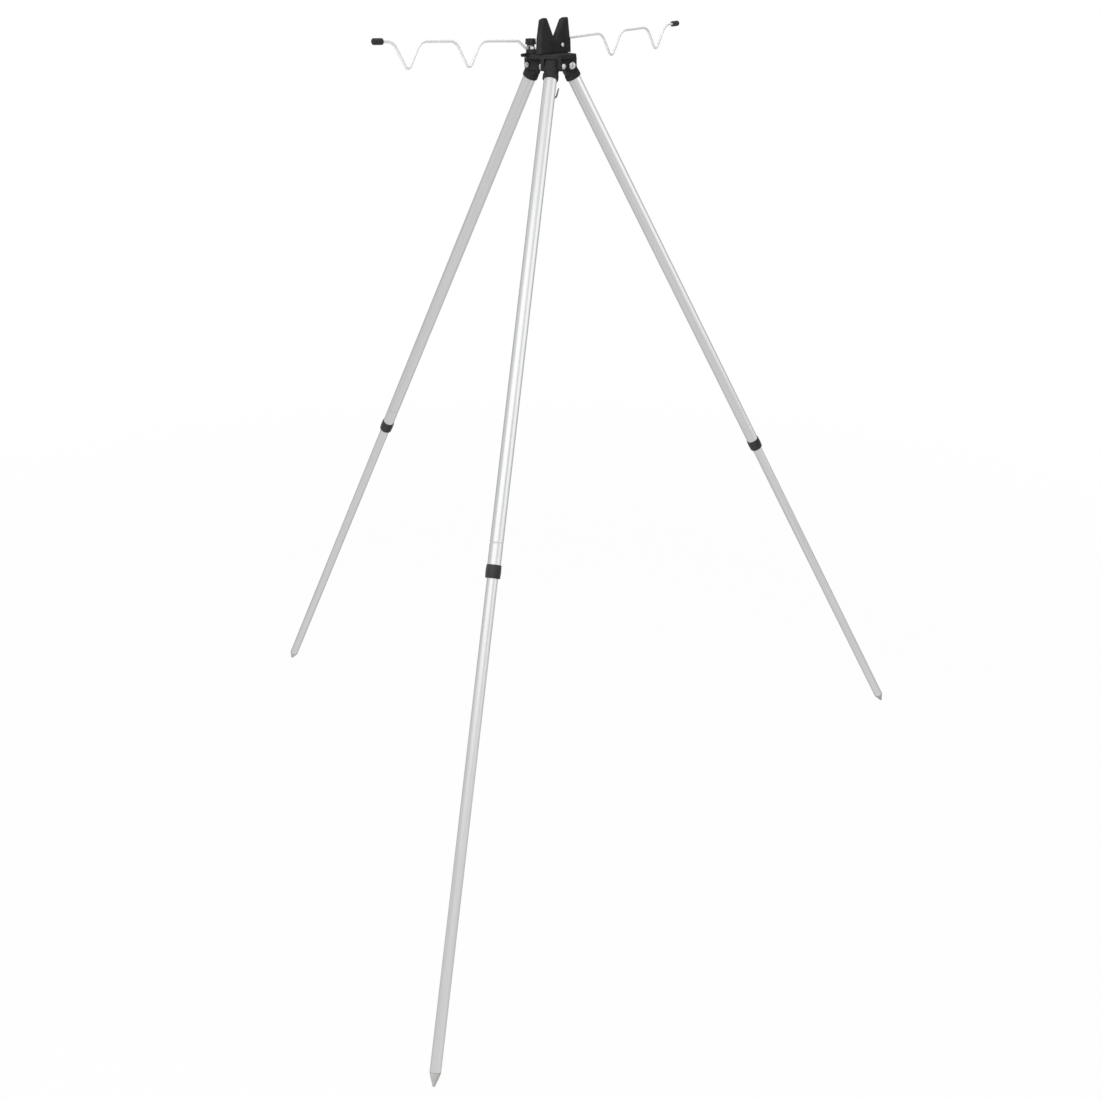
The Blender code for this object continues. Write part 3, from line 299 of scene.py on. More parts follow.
def paint(tree, shader, look, skin, layers, spread, changes=()):
    # colour from dark to light under its layers, then roughness and relief, all from one skin
    colour = blendColours(tree, ramp(tree, skin["Tone"], *toneRange), look["dark"], look["light"])
    for mask, name in layers:
        colour = blendColours(tree, mask, colour, look[name])
    rough = between(tree, skin["Tone"], look["roughness"] - spread[0], look["roughness"] + spread[1])
    for mask, change in changes:
        rough = maths(tree, "ADD", rough, times(tree, mask, change), clamp=True)
    relief = output(tree, "ShaderNodeBump", {"Height": skin["Height"], "Strength": look["bump"],
                                             "Distance": look["depth"]})
    for made, name in ((colour, "Base Color"), (rough, "Roughness"), (relief, "Normal")):
        tree.links.new(made, shader.inputs[name])


def makeMoulded(name, look):
    # moulded nylon and rubber: spark-eroded skin, faces along X painted lighter as painted light, polished
    # edges, a little dust on top
    material, tree, shader = startMaterial(name, {"Specular IOR Level": look["shine"]})
    where = objectCoordinates(tree)
    worn = rubbed(tree, where, look)
    dust = effect(tree, settledDust, Coordinates=where, Amount=look["dust"])["Mask"]
    # the first layer is painted light: faces turned along X take the lighter side colour
    layers = ((effect(tree, paintedLitSides, Amount=look["sides"])["Mask"], "sideColour"), (worn, "wornColour"),
              (scuffed(tree, where, look), "wornColour"), (dust, "dustColour"))
    paint(tree, shader, look, skinOf(tree, where, look), layers, (0.06, 0.06), ((worn, -0.12), (dust, 0.3)))
    return material


def makeAluminium(name, look):
    # satin anodised tube: fine lines drawn along it, soft streaks, a few scuffs, and a grey specular tint
    # that darkens its edges at grazing angles, a painted shade
    material, tree, shader = startMaterial(name, {"Metallic": 1.0, "Specular Tint": look["paintedGrazingShade"]})
    along = ownCoordinates(tree)
    lines = effect(tree, drawnLines, Coordinates=along, Lines=look["lines"], Stretch=look["stretch"])
    marks = scuffed(tree, along, look)
    streaks = ramp(tree, lines["Streak"], *look["streaks"])
    layers = ((streaks, "streakColour"), (marks, "scuffColour"))
    paint(tree, shader, look, lines, layers, (0.05, 0.05), ((marks, 0.15),))
    return material


def makePlatedSteel(name, look):
    # zinc plated fasteners and wire: clouded plating, hairline scratches, bright edges
    material, tree, shader = startMaterial(name, {"Metallic": 1.0})
    where = objectCoordinates(tree)
    layers = ((rubbed(tree, where, look), "wornColour"),)
    changes = ((scuffed(tree, where, look), 0.2),)
    paint(tree, shader, look, skinOf(tree, where, look), layers, (0.06, 0.08), changes)
    return material


def makeCoatedWire(name, look):
    # dipped coating: slight orange peel, soft gloss, rubbed grey where rods have lain
    material, tree, shader = startMaterial(name, {"Coat Weight": look["coat"], "Coat Roughness": 0.12})
    along = ownCoordinates(tree)
    layers = ((scuffed(tree, along, look), "scuffColour"),)
    paint(tree, shader, look, skinOf(tree, along, look), layers, (0.05, 0.08))
    return material


def makeFootNylon(name, look):
    # milky grey nylon, scratched and soiled towards its tip
    material, tree, shader = startMaterial(name, {"Subsurface Weight": 0.15, "Subsurface Scale": 0.004,
                                                  "Specular IOR Level": 0.4})
    along = ownCoordinates(tree)
    skin = skinOf(tree, along, look)
    height = addNode(tree, "ShaderNodeSeparateXYZ", {0: along}).outputs[2]
    down = ramp(tree, height, look["soilTop"], look["soilLow"])
    soil = maths(tree, "MULTIPLY", down, between(tree, skin["Tone"], 0.2, 1.0), clamp=True)
    layers = ((scuffed(tree, along, look), "scuffColour"), (soil, "soilColour"))
    paint(tree, shader, look, skin, layers, (0.08, 0.1))
    return material


legLength = -measure("foot_plug_rear", legPlaces["rear"])[0].z
# in each moulded look, sides and the side colour set the painted light on faces turned along X
nylonLook = {
    "dark": (0.025, 0.025, 0.0255, 1), "light": (0.038, 0.038, 0.0385, 1),
    "wornColour": (0.095, 0.095, 0.095, 1), "sides": 0.15, "sideColour": (0.046, 0.046, 0.047, 1),
    "dustColour": (0.085, 0.083, 0.080, 1), "shine": 0.03, "roughness": 0.40, "grain": 2200.0, "flow": 60.0,
    "edge": 0.0006, "wear": 0.45, "scuffSize": 90.0, "scuffs": 0.25, "dust": 0.10, "bump": 0.35,
    "depth": 0.00006}
blackNylon = makeMoulded("moulded black nylon", nylonLook)
polishedNylon = makeMoulded("polished black nylon", {
    **nylonLook, "dark": (0.030, 0.030, 0.0305, 1), "light": (0.044, 0.044, 0.0445, 1),
    "wornColour": (0.12, 0.12, 0.12, 1), "sides": 0.6, "sideColour": (0.052, 0.052, 0.053, 1), "shine": 0.10,
    "roughness": 0.24, "wear": 0.5, "scuffSize": 110.0, "scuffs": 0.30, "dust": 0.08, "bump": 0.15,
    "depth": 0.00005})
blackRubber = makeMoulded("black rubber", {
    "dark": (0.009, 0.009, 0.010, 1), "light": (0.014, 0.014, 0.015, 1),
    "wornColour": (0.045, 0.045, 0.045, 1), "sides": 0.2, "sideColour": (0.030, 0.030, 0.031, 1),
    "dustColour": (0.085, 0.082, 0.078, 1), "shine": 0.35, "roughness": 0.62, "grain": 2800.0, "flow": 90.0,
    "edge": 0.0005, "wear": 0.3, "scuffSize": 120.0, "scuffs": 0.3, "dust": 0.2, "bump": 0.5,
    "depth": 0.00007})
whiteAcetal = makeMoulded("white acetal", {
    "dark": (0.68, 0.68, 0.65, 1), "light": (0.76, 0.76, 0.73, 1), "wornColour": (0.80, 0.80, 0.78, 1),
    "sides": 0.2, "sideColour": (0.70, 0.70, 0.67, 1), "dustColour": (0.60, 0.59, 0.56, 1), "shine": 0.5,
    "roughness": 0.40, "grain": 1800.0, "flow": 50.0, "edge": 0.0005, "wear": 0.3, "scuffSize": 120.0,
    "scuffs": 0.2, "dust": 0.1, "bump": 0.2, "depth": 0.00004})
satinAluminium = makeAluminium("satin anodised aluminium", {
    "dark": (0.560, 0.563, 0.566, 1), "light": (0.620, 0.623, 0.626, 1),
    "streakColour": (0.68, 0.68, 0.685, 1), "scuffColour": (0.48, 0.48, 0.48, 1),
    # the grey specular tint is painted shade, darkening the tube's reflection at grazing edges
    "streaks": (0.40, 0.65, 0.0, 0.35), "paintedGrazingShade": (0.42, 0.42, 0.43, 1), "roughness": 0.34,
    "lines": 1500.0, "stretch": 0.012,
    "scuffSize": 40.0, "scuffs": 0.22, "bump": 0.18, "depth": 0.00005})
brightSteel = makePlatedSteel("zinc plated steel", {
    "dark": (0.40, 0.40, 0.41, 1), "light": (0.54, 0.54, 0.54, 1), "wornColour": (0.72, 0.72, 0.71, 1),
    "roughness": 0.22, "grain": 2400.0, "flow": 160.0, "edge": 0.0003, "wear": 0.6, "scuffSize": 220.0,
    "scuffs": 0.5, "bump": 0.12, "depth": 0.00004})
darkSteel = makePlatedSteel("dark plated wire", {
    "dark": (0.11, 0.11, 0.115, 1), "light": (0.19, 0.19, 0.195, 1), "wornColour": (0.40, 0.40, 0.40, 1),
    "roughness": 0.38, "grain": 2400.0, "flow": 120.0, "edge": 0.0003, "wear": 0.5, "scuffSize": 200.0,
    "scuffs": 0.5, "bump": 0.2, "depth": 0.00005})
whiteCoating = makeCoatedWire("off-white wire coating", {
    "dark": (0.86, 0.86, 0.85, 1), "light": (0.91, 0.91, 0.90, 1), "scuffColour": (0.72, 0.72, 0.71, 1),
    "coat": 0.6, "roughness": 0.30, "grain": 900.0, "flow": 70.0, "scuffSize": 110.0, "scuffs": 0.22,
    "bump": 0.12, "depth": 0.00008})
footNylon = makeFootNylon("warm grey nylon", {
    "dark": (0.47, 0.463, 0.450, 1), "light": (0.55, 0.543, 0.528, 1), "scuffColour": (0.40, 0.393, 0.38, 1),
    "soilColour": (0.40, 0.388, 0.37, 1), "soilTop": -legLength + 0.012, "soilLow": -legLength,
    "roughness": 0.45, "grain": 1700.0, "flow": 110.0, "scuffSize": 220.0, "scuffs": 0.35, "bump": 0.25,
    "depth": 0.00007})
print("materials: 9 finishes")


# Making meshes

def sharpen(mesh, angle=32):
    mesh.shade_smooth()
    mesh.set_sharp_from_angle(angle=math.radians(angle))
    return mesh


def meshFrom(bm):
    bmesh.ops.remove_doubles(bm, verts=bm.verts, dist=tiny / 10)
    bmesh.ops.recalc_face_normals(bm, faces=bm.faces)
    bmesh.ops.triangulate(bm, faces=[face for face in bm.faces if len(face.verts) > 4])
    mesh = bpy.data.meshes.new("work")
    bm.to_mesh(mesh)
    bm.free()
    return mesh


def workObject(data, place=None):
    obj = bpy.data.objects.new("work", data)
    if place is not None:
        obj.matrix_world = place
    bpy.context.scene.collection.objects.link(obj)
    return obj


def finishedMesh(obj):
    # the evaluated mesh of a work object; the object and its tools are then thrown away
    bpy.context.view_layer.update()
    evaluated = obj.evaluated_get(bpy.context.evaluated_depsgraph_get())
    mesh = bpy.data.meshes.new_from_object(evaluated)
    mesh.transform(obj.matrix_world)
    tools = [modifier.object for modifier in obj.modifiers if modifier.type == "BOOLEAN"]
    for used in [obj] + tools:
        bpy.data.objects.remove(used, do_unlink=True)
    return mesh


def addModifier(obj, kind, **settings):
    modifier = obj.modifiers.new(kind.lower(), kind)
    for name, value in settings.items():
        setattr(modifier, name, value)
    return modifier


def combine(obj, bm, operation, place=None):
    addModifier(obj, "BOOLEAN", operation=operation, solver="EXACT", object=workObject(meshFrom(bm), place))


def weld(obj, bm, place=None):
    combine(obj, bm, "UNION", place)


def cut(obj, bm, place=None):
    combine(obj, bm, "DIFFERENCE", place)


def softened(obj, size):
    # an even skin over joined solids, so that every edge gets a moulding's small radius
    addModifier(obj, "REMESH", mode="VOXEL", voxel_size=size["voxel"], use_smooth_shade=True)
    addModifier(obj, "SMOOTH", factor=0.5, iterations=size["calm"])
    addModifier(obj, "DECIMATE", ratio=size["keep"])
    return finishedMesh(obj)


def noteOwn(mesh):
    # keeps each point's place in the piece's own coordinates, for materials that follow the piece
    attribute = mesh.attributes.new("own", "FLOAT_VECTOR", "POINT")
    values = [0.0] * (3 * len(mesh.vertices))
    mesh.vertices.foreach_get("co", values)
    attribute.data.foreach_set("vector", values)


def addPiece(name, mesh, body, material, nodes, place=None):
    # puts a finished mesh in place, with its object at the origin, attaches it to its body and hides the CAD
    # nodes it replaces
    noteOwn(mesh)
    if place is not None:
        mesh.transform(place)
    mesh.materials.clear()
    mesh.materials.append(material)
    mesh.name = name
    piece = bpy.data.objects.new(name, mesh)
    bpy.context.scene.collection.objects.link(piece)
    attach(piece, body)
    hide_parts(*nodes)
    return piece


def roundCorners(corners, steps=6, closed=True):
    # an outline or a profile whose corners (x, y, radius) become arcs
    points = []
    count = len(corners)
    for i, (x, y, radius) in enumerate(corners):
        atEnd = not closed and i in (0, count - 1)
        if radius <= 0 or atEnd:
            points.append((x, y))
            continue
        here = Vector((x, y))
        before = (Vector(corners[i - 1][:2]) - here).normalized()
        after = (Vector(corners[(i + 1) % count][:2]) - here).normalized()
        half = before.angle(after) / 2
        centre = here + (before + after).normalized() * radius / math.sin(half)
        first = here + before * radius / math.tan(half) - centre
        sweep = first.angle_signed(here + after * radius / math.tan(half) - centre)
        for step in range(steps + 1):
            point = centre + Matrix.Rotation(-sweep * step / steps, 2) @ first
            points.append((point.x, point.y))
    return points


def arcPoints(centre, radius, start, stop, steps):
    angles = [math.radians(start + (stop - start) * i / steps) for i in range(steps + 1)]
    return [(centre[0] + radius * math.cos(angle), centre[1] + radius * math.sin(angle)) for angle in angles]


def turned(profile, steps=64, closed=False):
    # a shape turned round Z from points (radius, height); radius 0 is a pole
    bm = bmesh.new()
    rings = []
    for radius, height in profile:
        if radius < tiny:
            rings.append([bm.verts.new((0, 0, height))] * steps)
            continue
        angles = [fullTurn * i / steps for i in range(steps)]
        rings.append([bm.verts.new((radius * math.cos(a), radius * math.sin(a), height)) for a in angles])
    pairs = list(zip(rings, rings[1:]))
    if closed:
        pairs.append((rings[-1], rings[0]))
    for upper, lower in pairs:
        for i in range(steps):
            loop = [upper[i], upper[(i + 1) % steps], lower[(i + 1) % steps], lower[i]]
            corners = list(dict.fromkeys(loop))
            if len(corners) > 2:
                bm.faces.new(corners)
    return bm


def lathed(spots, edges, arcSteps, sides, closed=False):
    # a profile of (radius, height) spots turned round Z, each corner rounded by its own edge
    corners = [(*spot, edge) for spot, edge in zip(spots, edges)]
    return turned(roundCorners(corners, arcSteps, closed), sides, closed)


def cylinder(radius, low, high, steps=48):
    return turned([(0, high), (radius, high), (radius, low), (0, low)], steps)


def drill(obj, diameter, low, high, place=None):
    # a hole that leaves the frame's gap round what goes into it
    cut(obj, cylinder(diameter / 2 + gap, low, high), place)


def prism(outline, low, high, plane="XY"):
    # a flat outline given thickness: XY stands it along Z, XZ lays it along Y, YZ lays it along X
    first, second, third = {"XY": (0, 1, 2), "XZ": (0, 2, 1), "YZ": (2, 0, 1)}[plane]
    bm = bmesh.new()
    spots = [(x, y, low) for x, y in outline]
    face = bm.faces.new([bm.verts.new((spot[first], spot[second], spot[third])) for spot in spots])
    raised = bmesh.ops.extrude_face_region(bm, geom=[face])
    way = (0, 0, high - low)
    rise = Vector((way[first], way[second], way[third]))
    for item in raised["geom"]:
        if isinstance(item, bmesh.types.BMVert):
            item.co += rise
    return bm


def hullOfDiscs(discs, steps=40):
    # the convex solid round flat discs, each given as x, y, z and radius
    bm = bmesh.new()
    for x, y, z, radius in discs:
        for i in range(steps):
            angle = fullTurn * (i + 0.5) / steps
            bm.verts.new((x + radius * math.cos(angle), y + radius * math.sin(angle), z))
    hull = bmesh.ops.convex_hull(bm, input=bm.verts)
    spare = [item for item in hull["geom_interior"] if isinstance(item, bmesh.types.BMVert)]
    bmesh.ops.delete(bm, geom=spare, context="VERTS")
    return bm


def roundedTop(top, radius, steps):
    # heights and insets up a rounded upper edge
    leans = [math.radians(90 * i / steps) for i in range(steps + 1)]
    return [(top - radius * (1 - math.sin(lean)), radius * (1 - math.cos(lean))) for lean in leans]


# Geometry Nodes: tubes, bent wire, threads, lobes and repeated fasteners

def newShape(name, inputs):
    shared = {"Geometry": "Geometry", "Material": "Material"}
    return newTree(name, "GeometryNodeTree", {**shared, **inputs}, {"Geometry": "Geometry"})


def endShape(tree, given, result, mesh):
    whole = output(tree, "GeometryNodeRealizeInstances", {0: mesh})
    smooth = output(tree, "GeometryNodeSetShadeSmooth", {0: whole})
    painted = output(tree, "GeometryNodeSetMaterial", {0: smooth, "Material": given["Material"]})
    tree.links.new(painted, result[0])
    return tree


def spotHere(tree):
    return addNode(tree, "ShaderNodeSeparateXYZ", {0: output(tree, "GeometryNodeInputPosition")}).outputs


def circle(tree, sides):
    return output(tree, "GeometryNodeCurvePrimitiveCircle", {"Resolution": sides, "Radius": 1.0})


def pressIn(tree, mesh, x, y, inward):
    # moves each point towards or away from Z by a share of its own distance
    way = output(tree, "ShaderNodeCombineXYZ", {0: times(tree, x, inward), 1: times(tree, y, inward)})
    return output(tree, "GeometryNodeSetPosition", {0: mesh, "Offset": way})


def makeTubeTree():
    # a thin skin round Z with a rolled groove and rounded rims; its wall is added afterwards
    tree, given, result = newShape("drawnTube", {
        "High": 0.0, "Low": -0.5, "Radius": 0.011, "Groove Middle": -0.4, "Groove Width": 0.004,
        "Groove Depth": 0.0006, "Rim Round": 0.0004, "Rings": 40, "Sides": 72})
    high, low, rimRound = given["High"], given["Low"], given["Rim Round"]
    middle, width = given["Groove Middle"], given["Groove Width"]
    grooveHigh = maths(tree, "ADD", middle, width)
    rimLow = maths(tree, "ADD", low, rimRound)
    stretches = ((high, low, given["Rings"]), (grooveHigh, minus(tree, middle, width), 41),
                 (high, minus(tree, high, rimRound), 6), (rimLow, low, 6))
    joined = addNode(tree, "GeometryNodeJoinGeometry")
    for first, last, count in stretches:
        start = output(tree, "ShaderNodeCombineXYZ", {2: first})
        end = output(tree, "ShaderNodeCombineXYZ", {2: last})
        line = output(tree, "GeometryNodeMeshLine", {"Count": count, "Start Location": start, "Offset": end},
                      mode="END_POINTS")
        tree.links.new(line, joined.inputs[0])
    merged = output(tree, "GeometryNodeMergeByDistance", {0: joined.outputs[0], "Distance": tiny})
    points = output(tree, "GeometryNodeMeshToPoints", {0: merged})
    height = spotHere(tree)[2]
    line = output(tree, "GeometryNodePointsToCurves", {0: points, "Weight": times(tree, height, -1.0)})
    off = maths(tree, "ABSOLUTE", minus(tree, height, middle))
    share = maths(tree, "DIVIDE", off, times(tree, width, 0.5), clamp=True)
    wave = maths(tree, "COSINE", times(tree, share, math.pi))
    dip = times(tree, maths(tree, "MULTIPLY_ADD", wave, 0.5, 0.5), given["Groove Depth"])
    toRim = maths(tree, "MINIMUM", minus(tree, high, height), minus(tree, height, low))
    away = minus(tree, 1.0, maths(tree, "DIVIDE", toRim, rimRound, clamp=True))
    arch = maths(tree, "SQRT", minus(tree, 1.0, times(tree, away, away)))
    rim = times(tree, minus(tree, 1.0, arch), rimRound)
    radius = minus(tree, minus(tree, given["Radius"], dip), rim)
    skin = output(tree, "GeometryNodeCurveToMesh", {
        0: line, 1: circle(tree, given["Sides"]), "Scale": radius})
    return endShape(tree, given, result, skin)


def makeWireTree():
    # bends a path of straight runs at its corners and gives it a round section
    tree, given, result = newShape("bentWire", {
        "Thickness": 0.004, "Bend Steps": 10, "Sides": 20, "End Round": 0.0006})
    path = output(tree, "GeometryNodeMeshToCurve", {0: given["Geometry"]})
    bend = output(tree, "GeometryNodeInputNamedAttribute", {"Name": "bend"}, data_type="FLOAT")
    curve = output(tree, "GeometryNodeFilletCurve", {0: path, "Count": given["Bend Steps"], "Radius": bend},
                   mode="POLY")
    along = addNode(tree, "GeometryNodeSplineParameter").outputs["Length"]
    rest = minus(tree, output(tree, "GeometryNodeSplineLength"), along)
    near = maths(tree, "DIVIDE", maths(tree, "MINIMUM", along, rest), given["End Round"], clamp=True)
    thick = times(tree, given["Thickness"], 0.5)
    shrink = times(tree, minus(tree, 1.0, near), given["End Round"])
    body = output(tree, "GeometryNodeCurveToMesh", {
        0: curve, 1: circle(tree, given["Sides"]), "Scale": minus(tree, thick, shrink), "Fill Caps": True})
    return endShape(tree, given, result, body)


def makeThreadTree():
    # a rod whose skin is drawn in along a helix, its crest at the full radius
    tree, given, result = newShape("screwThread", {
        "Radius": 0.003, "Length": 0.01, "Pitch": 0.001, "Depth": 0.0005, "Sides": 36, "Steps per Turn": 8})
    turns = maths(tree, "DIVIDE", given["Length"], given["Pitch"])
    steps = maths(tree, "ROUND", times(tree, turns, given["Steps per Turn"]))
    rod = output(tree, "GeometryNodeMeshCylinder", {"Vertices": given["Sides"], "Side Segments": steps,
                                                    "Radius": given["Radius"], "Depth": given["Length"]})
    x, y, z = spotHere(tree)
    angle = maths(tree, "DIVIDE", maths(tree, "ARCTAN2", y, x), fullTurn)
    phase = minus(tree, maths(tree, "DIVIDE", z, given["Pitch"]), angle)
    valley = times(tree, maths(tree, "PINGPONG", phase, 0.5), 2.0)
    drop = times(tree, times(tree, valley, given["Depth"]), -1.0)
    carved = pressIn(tree, rod, x, y, maths(tree, "DIVIDE", drop, given["Radius"]))
    return endShape(tree, given, result, carved)


def makeLobeTree():
    # presses a round grip in between its lobes
    tree, given, result = newShape("knobLobes", {
        "Lobes": 6, "Depth": 0.0015, "Radius": 0.008, "From Radius": 0.0065})
    x, y = spotHere(tree)[:2]
    lobe = maths(tree, "COSINE", times(tree, maths(tree, "ARCTAN2", y, x), given["Lobes"]))
    hollow = maths(tree, "POWER", maths(tree, "MULTIPLY_ADD", lobe, -0.5, 0.5), 2.0)
    flat = output(tree, "ShaderNodeCombineXYZ", {0: x, 1: y})
    reach = addNode(tree, "ShaderNodeVectorMath", {0: flat}, operation="LENGTH").outputs["Value"]
    share = ramp(tree, reach, given["From Radius"], given["Radius"])
    drop = times(tree, times(tree, times(tree, hollow, given["Depth"]), share), -1.0)
    inward = maths(tree, "DIVIDE", drop, maths(tree, "MAXIMUM", reach, tiny))
    pressed = pressIn(tree, given["Geometry"], x, y, inward)
    return endShape(tree, given, result, pressed)


def makeRepeatTree():
    # one copy of a fastener at each point, turned by the point's own angles
    tree, given, result = newShape("repeatedFasteners", {"Fastener": "Object"})
    source = addNode(tree, "GeometryNodeObjectInfo", {0: given["Fastener"]}).outputs["Geometry"]
    turn = output(tree, "GeometryNodeInputNamedAttribute", {"Name": "turn"}, data_type="FLOAT_VECTOR")
    rotation = output(tree, "FunctionNodeEulerToRotation", {0: turn})
    copies = output(tree, "GeometryNodeInstanceOnPoints", {
        0: given["Geometry"], "Instance": source, "Rotation": rotation})
    return endShape(tree, given, result, copies)


tubeTree = makeTubeTree()
wireTree = makeWireTree()
threadTree = makeThreadTree()
lobeTree = makeLobeTree()
repeatTree = makeRepeatTree()
print("geometry nodes: 5 trees")


def runTree(tree, material, inputs, base=None):
    # returns a work object with the tree as its modifier, its inputs set before it is evaluated
    obj = workObject(base or bpy.data.meshes.new("base"))
    modifier = addModifier(obj, "NODES", node_group=tree)
    values = {"Material": material, **inputs}
    for item in tree.interface.items_tree:
        if item.item_type == "SOCKET" and item.in_out == "INPUT" and item.name in values:
            modifier[item.identifier] = values[item.name]
    return obj


def repeated(fastener, material, spots):
    # spots are (place, turn) pairs; returns one mesh with a copy of the fastener at each
    base = bpy.data.meshes.new("spots")
    base.from_pydata([tuple(place) for place, turn in spots], [], [])
    angles = base.attributes.new("turn", "FLOAT_VECTOR", "POINT")
    for i, (place, turn) in enumerate(spots):
        angles.data[i].vector = tuple(turn)
    source = workObject(fastener)
    mesh = finishedMesh(runTree(repeatTree, material, {"Fastener": source}, base))
    bpy.data.objects.remove(source, do_unlink=True)
    return mesh


def joinMeshes(meshes):
    bm = bmesh.new()
    for mesh in meshes:
        bm.from_mesh(mesh)
    joined = bpy.data.meshes.new("joined")
    bm.to_mesh(joined)
    bm.free()
    return joined


# Fasteners

# shares of the shank's radius, then of the head's radius and height
screwShape = {"tipRadius": 0.7, "tipLength": 0.3, "seat": 0.97, "seatEdge": 0.03}


def crossTools(size):
    # two blades that narrow downwards, square to one another
    tools = []
    for turn in (0, 90):
        bm = bmesh.new()
        for vert in bmesh.ops.create_cube(bm, size=1)["verts"]:
            lower = vert.co.z < 0
            x = vert.co.x * size["span"] * (size["narrow"] if lower else 1.0)
            vert.co = (x, vert.co.y * size["width"], -size["depth"] if lower else size["depth"])
        bmesh.ops.rotate(bm, verts=bm.verts, matrix=Matrix.Rotation(math.radians(turn), 3, "Z"))
        tools.append(bm)
    return tools


def headedScrew(head, recess):
    # head points down its own -Z, its seat at the origin, the shank along +Z
    radius, high, shank, length = head["radius"], head["height"], head["shank"], head["length"]
    edge = high * head["rim"]
    profile = [(0, length), (shank * screwShape["tipRadius"], length),
               (shank, length - shank * screwShape["tipLength"]), (shank, 0),
               (radius * screwShape["seat"], 0), (radius, -high * screwShape["seatEdge"]), (radius, -edge)]
    for lean in range(80, -1, -8):
        across, up = math.sin(math.radians(lean)), math.cos(math.radians(lean))
        profile.append((radius * across, -edge - high * (1 - head["rim"]) * up))
    obj = workObject(meshFrom(turned(profile, 48)))
    for tool in crossTools(recess):
        bmesh.ops.transform(tool, matrix=shift(0, 0, -high) @ turnAbout("X", 180), verts=tool.verts)
        cut(obj, tool)
    return sharpen(finishedMesh(obj))


# shares of half the width across flats, and of the corner's radius
hexagonShape = {"chamferFrom": 0.97, "face": 0.95, "corner": 1.001, "chamferAngle": 30}


def hexagonOutline(flats):
    return arcPoints((0, 0), flats / 2 / math.cos(math.pi / 6), 30, 330, 5)


def chamferedHexagon(flats, low, high, bore=0.0):
    # a nut or a bolt's head: a hexagon with its corners turned off
    corner = flats / 2 / math.cos(math.pi / 6)
    slope = math.tan(math.radians(hexagonShape["chamferAngle"]))
    drop = (corner - flats / 2 * hexagonShape["chamferFrom"]) * slope
    corner *= hexagonShape["corner"]
    face = flats / 2 * hexagonShape["face"]
    cone = [(0, high), (face, high), (corner, high - drop), (corner, low + drop), (face, low), (0, low)]
    obj = workObject(meshFrom(prism(hexagonOutline(flats), low - gap, high + gap)))
    combine(obj, turned(cone, 96), "INTERSECT")
    if bore > 0:
        thick = high - low
        cut(obj, cylinder(bore, low - thick, high + thick))
    return sharpen(finishedMesh(obj), 20)


# Head: hub, bracket, fork

hubSizes = {
    "knuckleWidth": 0.022, "cheek": 0.006, "cheekBottom": -0.008, "cheekRound": 0.0075, "cheekCorner": 0.001,
    "clevisOut": 0.0095, "clevisIn": 0.0120, "plateBottom": 0.011, "plateTop": 0.0185, "plateCorner": 0.003,
    "plateFillet": 0.002, "earRadius": 0.0078, "pegRadius": 0.0028, "pegLength": 0.0155, "pegDrop": 0.0010,
    "pegEdges": (0, 0.0014, 0, 0), "pivotX": 0.0355, "pivotY": 0.012, "bolt": 0.005, "stud": 0.006,
    "studFlats": 0.010, "studHead": 0.004, "screwX": 0.012, "screwY": 0.004, "screw": 0.0040,
    "screwHead": 0.0078, "screwSeat": 0.004, "hookWire": 0.0030, "hookHead": 0.0080, "hookHeadHeight": 0.0020,
    "voxel": 0.00042, "calm": 3, "keep": 0.5}

legReach = {}           # from the hub's axis to each hinge, seen from above, and the leg's directions there
for side in legSides:
    across = Vector(joints["leg_fold_" + side]["axis"])
    hinge = legPlaces[side].translation - hubOrigin
    legReach[side] = (Vector((hinge.x, hinge.y)), Vector((across.y, -across.x)), Vector((across.x, across.y)))


def clevisSpot(side, out, sideways):
    hinge, outwardWay, acrossWay = legReach[side]
    point = hinge + outwardWay * out + acrossWay * sideways
    return point.x, point.y


def clevisBlock(side, halfWidth, out, inward, low, high, corner):
    # an upright block over one hinge, in plan a rectangle with rounded outer corners
    outline = [(*clevisSpot(side, -inward, -halfWidth), 0), (*clevisSpot(side, out, -halfWidth), corner),
               (*clevisSpot(side, out, halfWidth), corner), (*clevisSpot(side, -inward, halfWidth), 0)]
    return prism(roundCorners(outline), low, high)


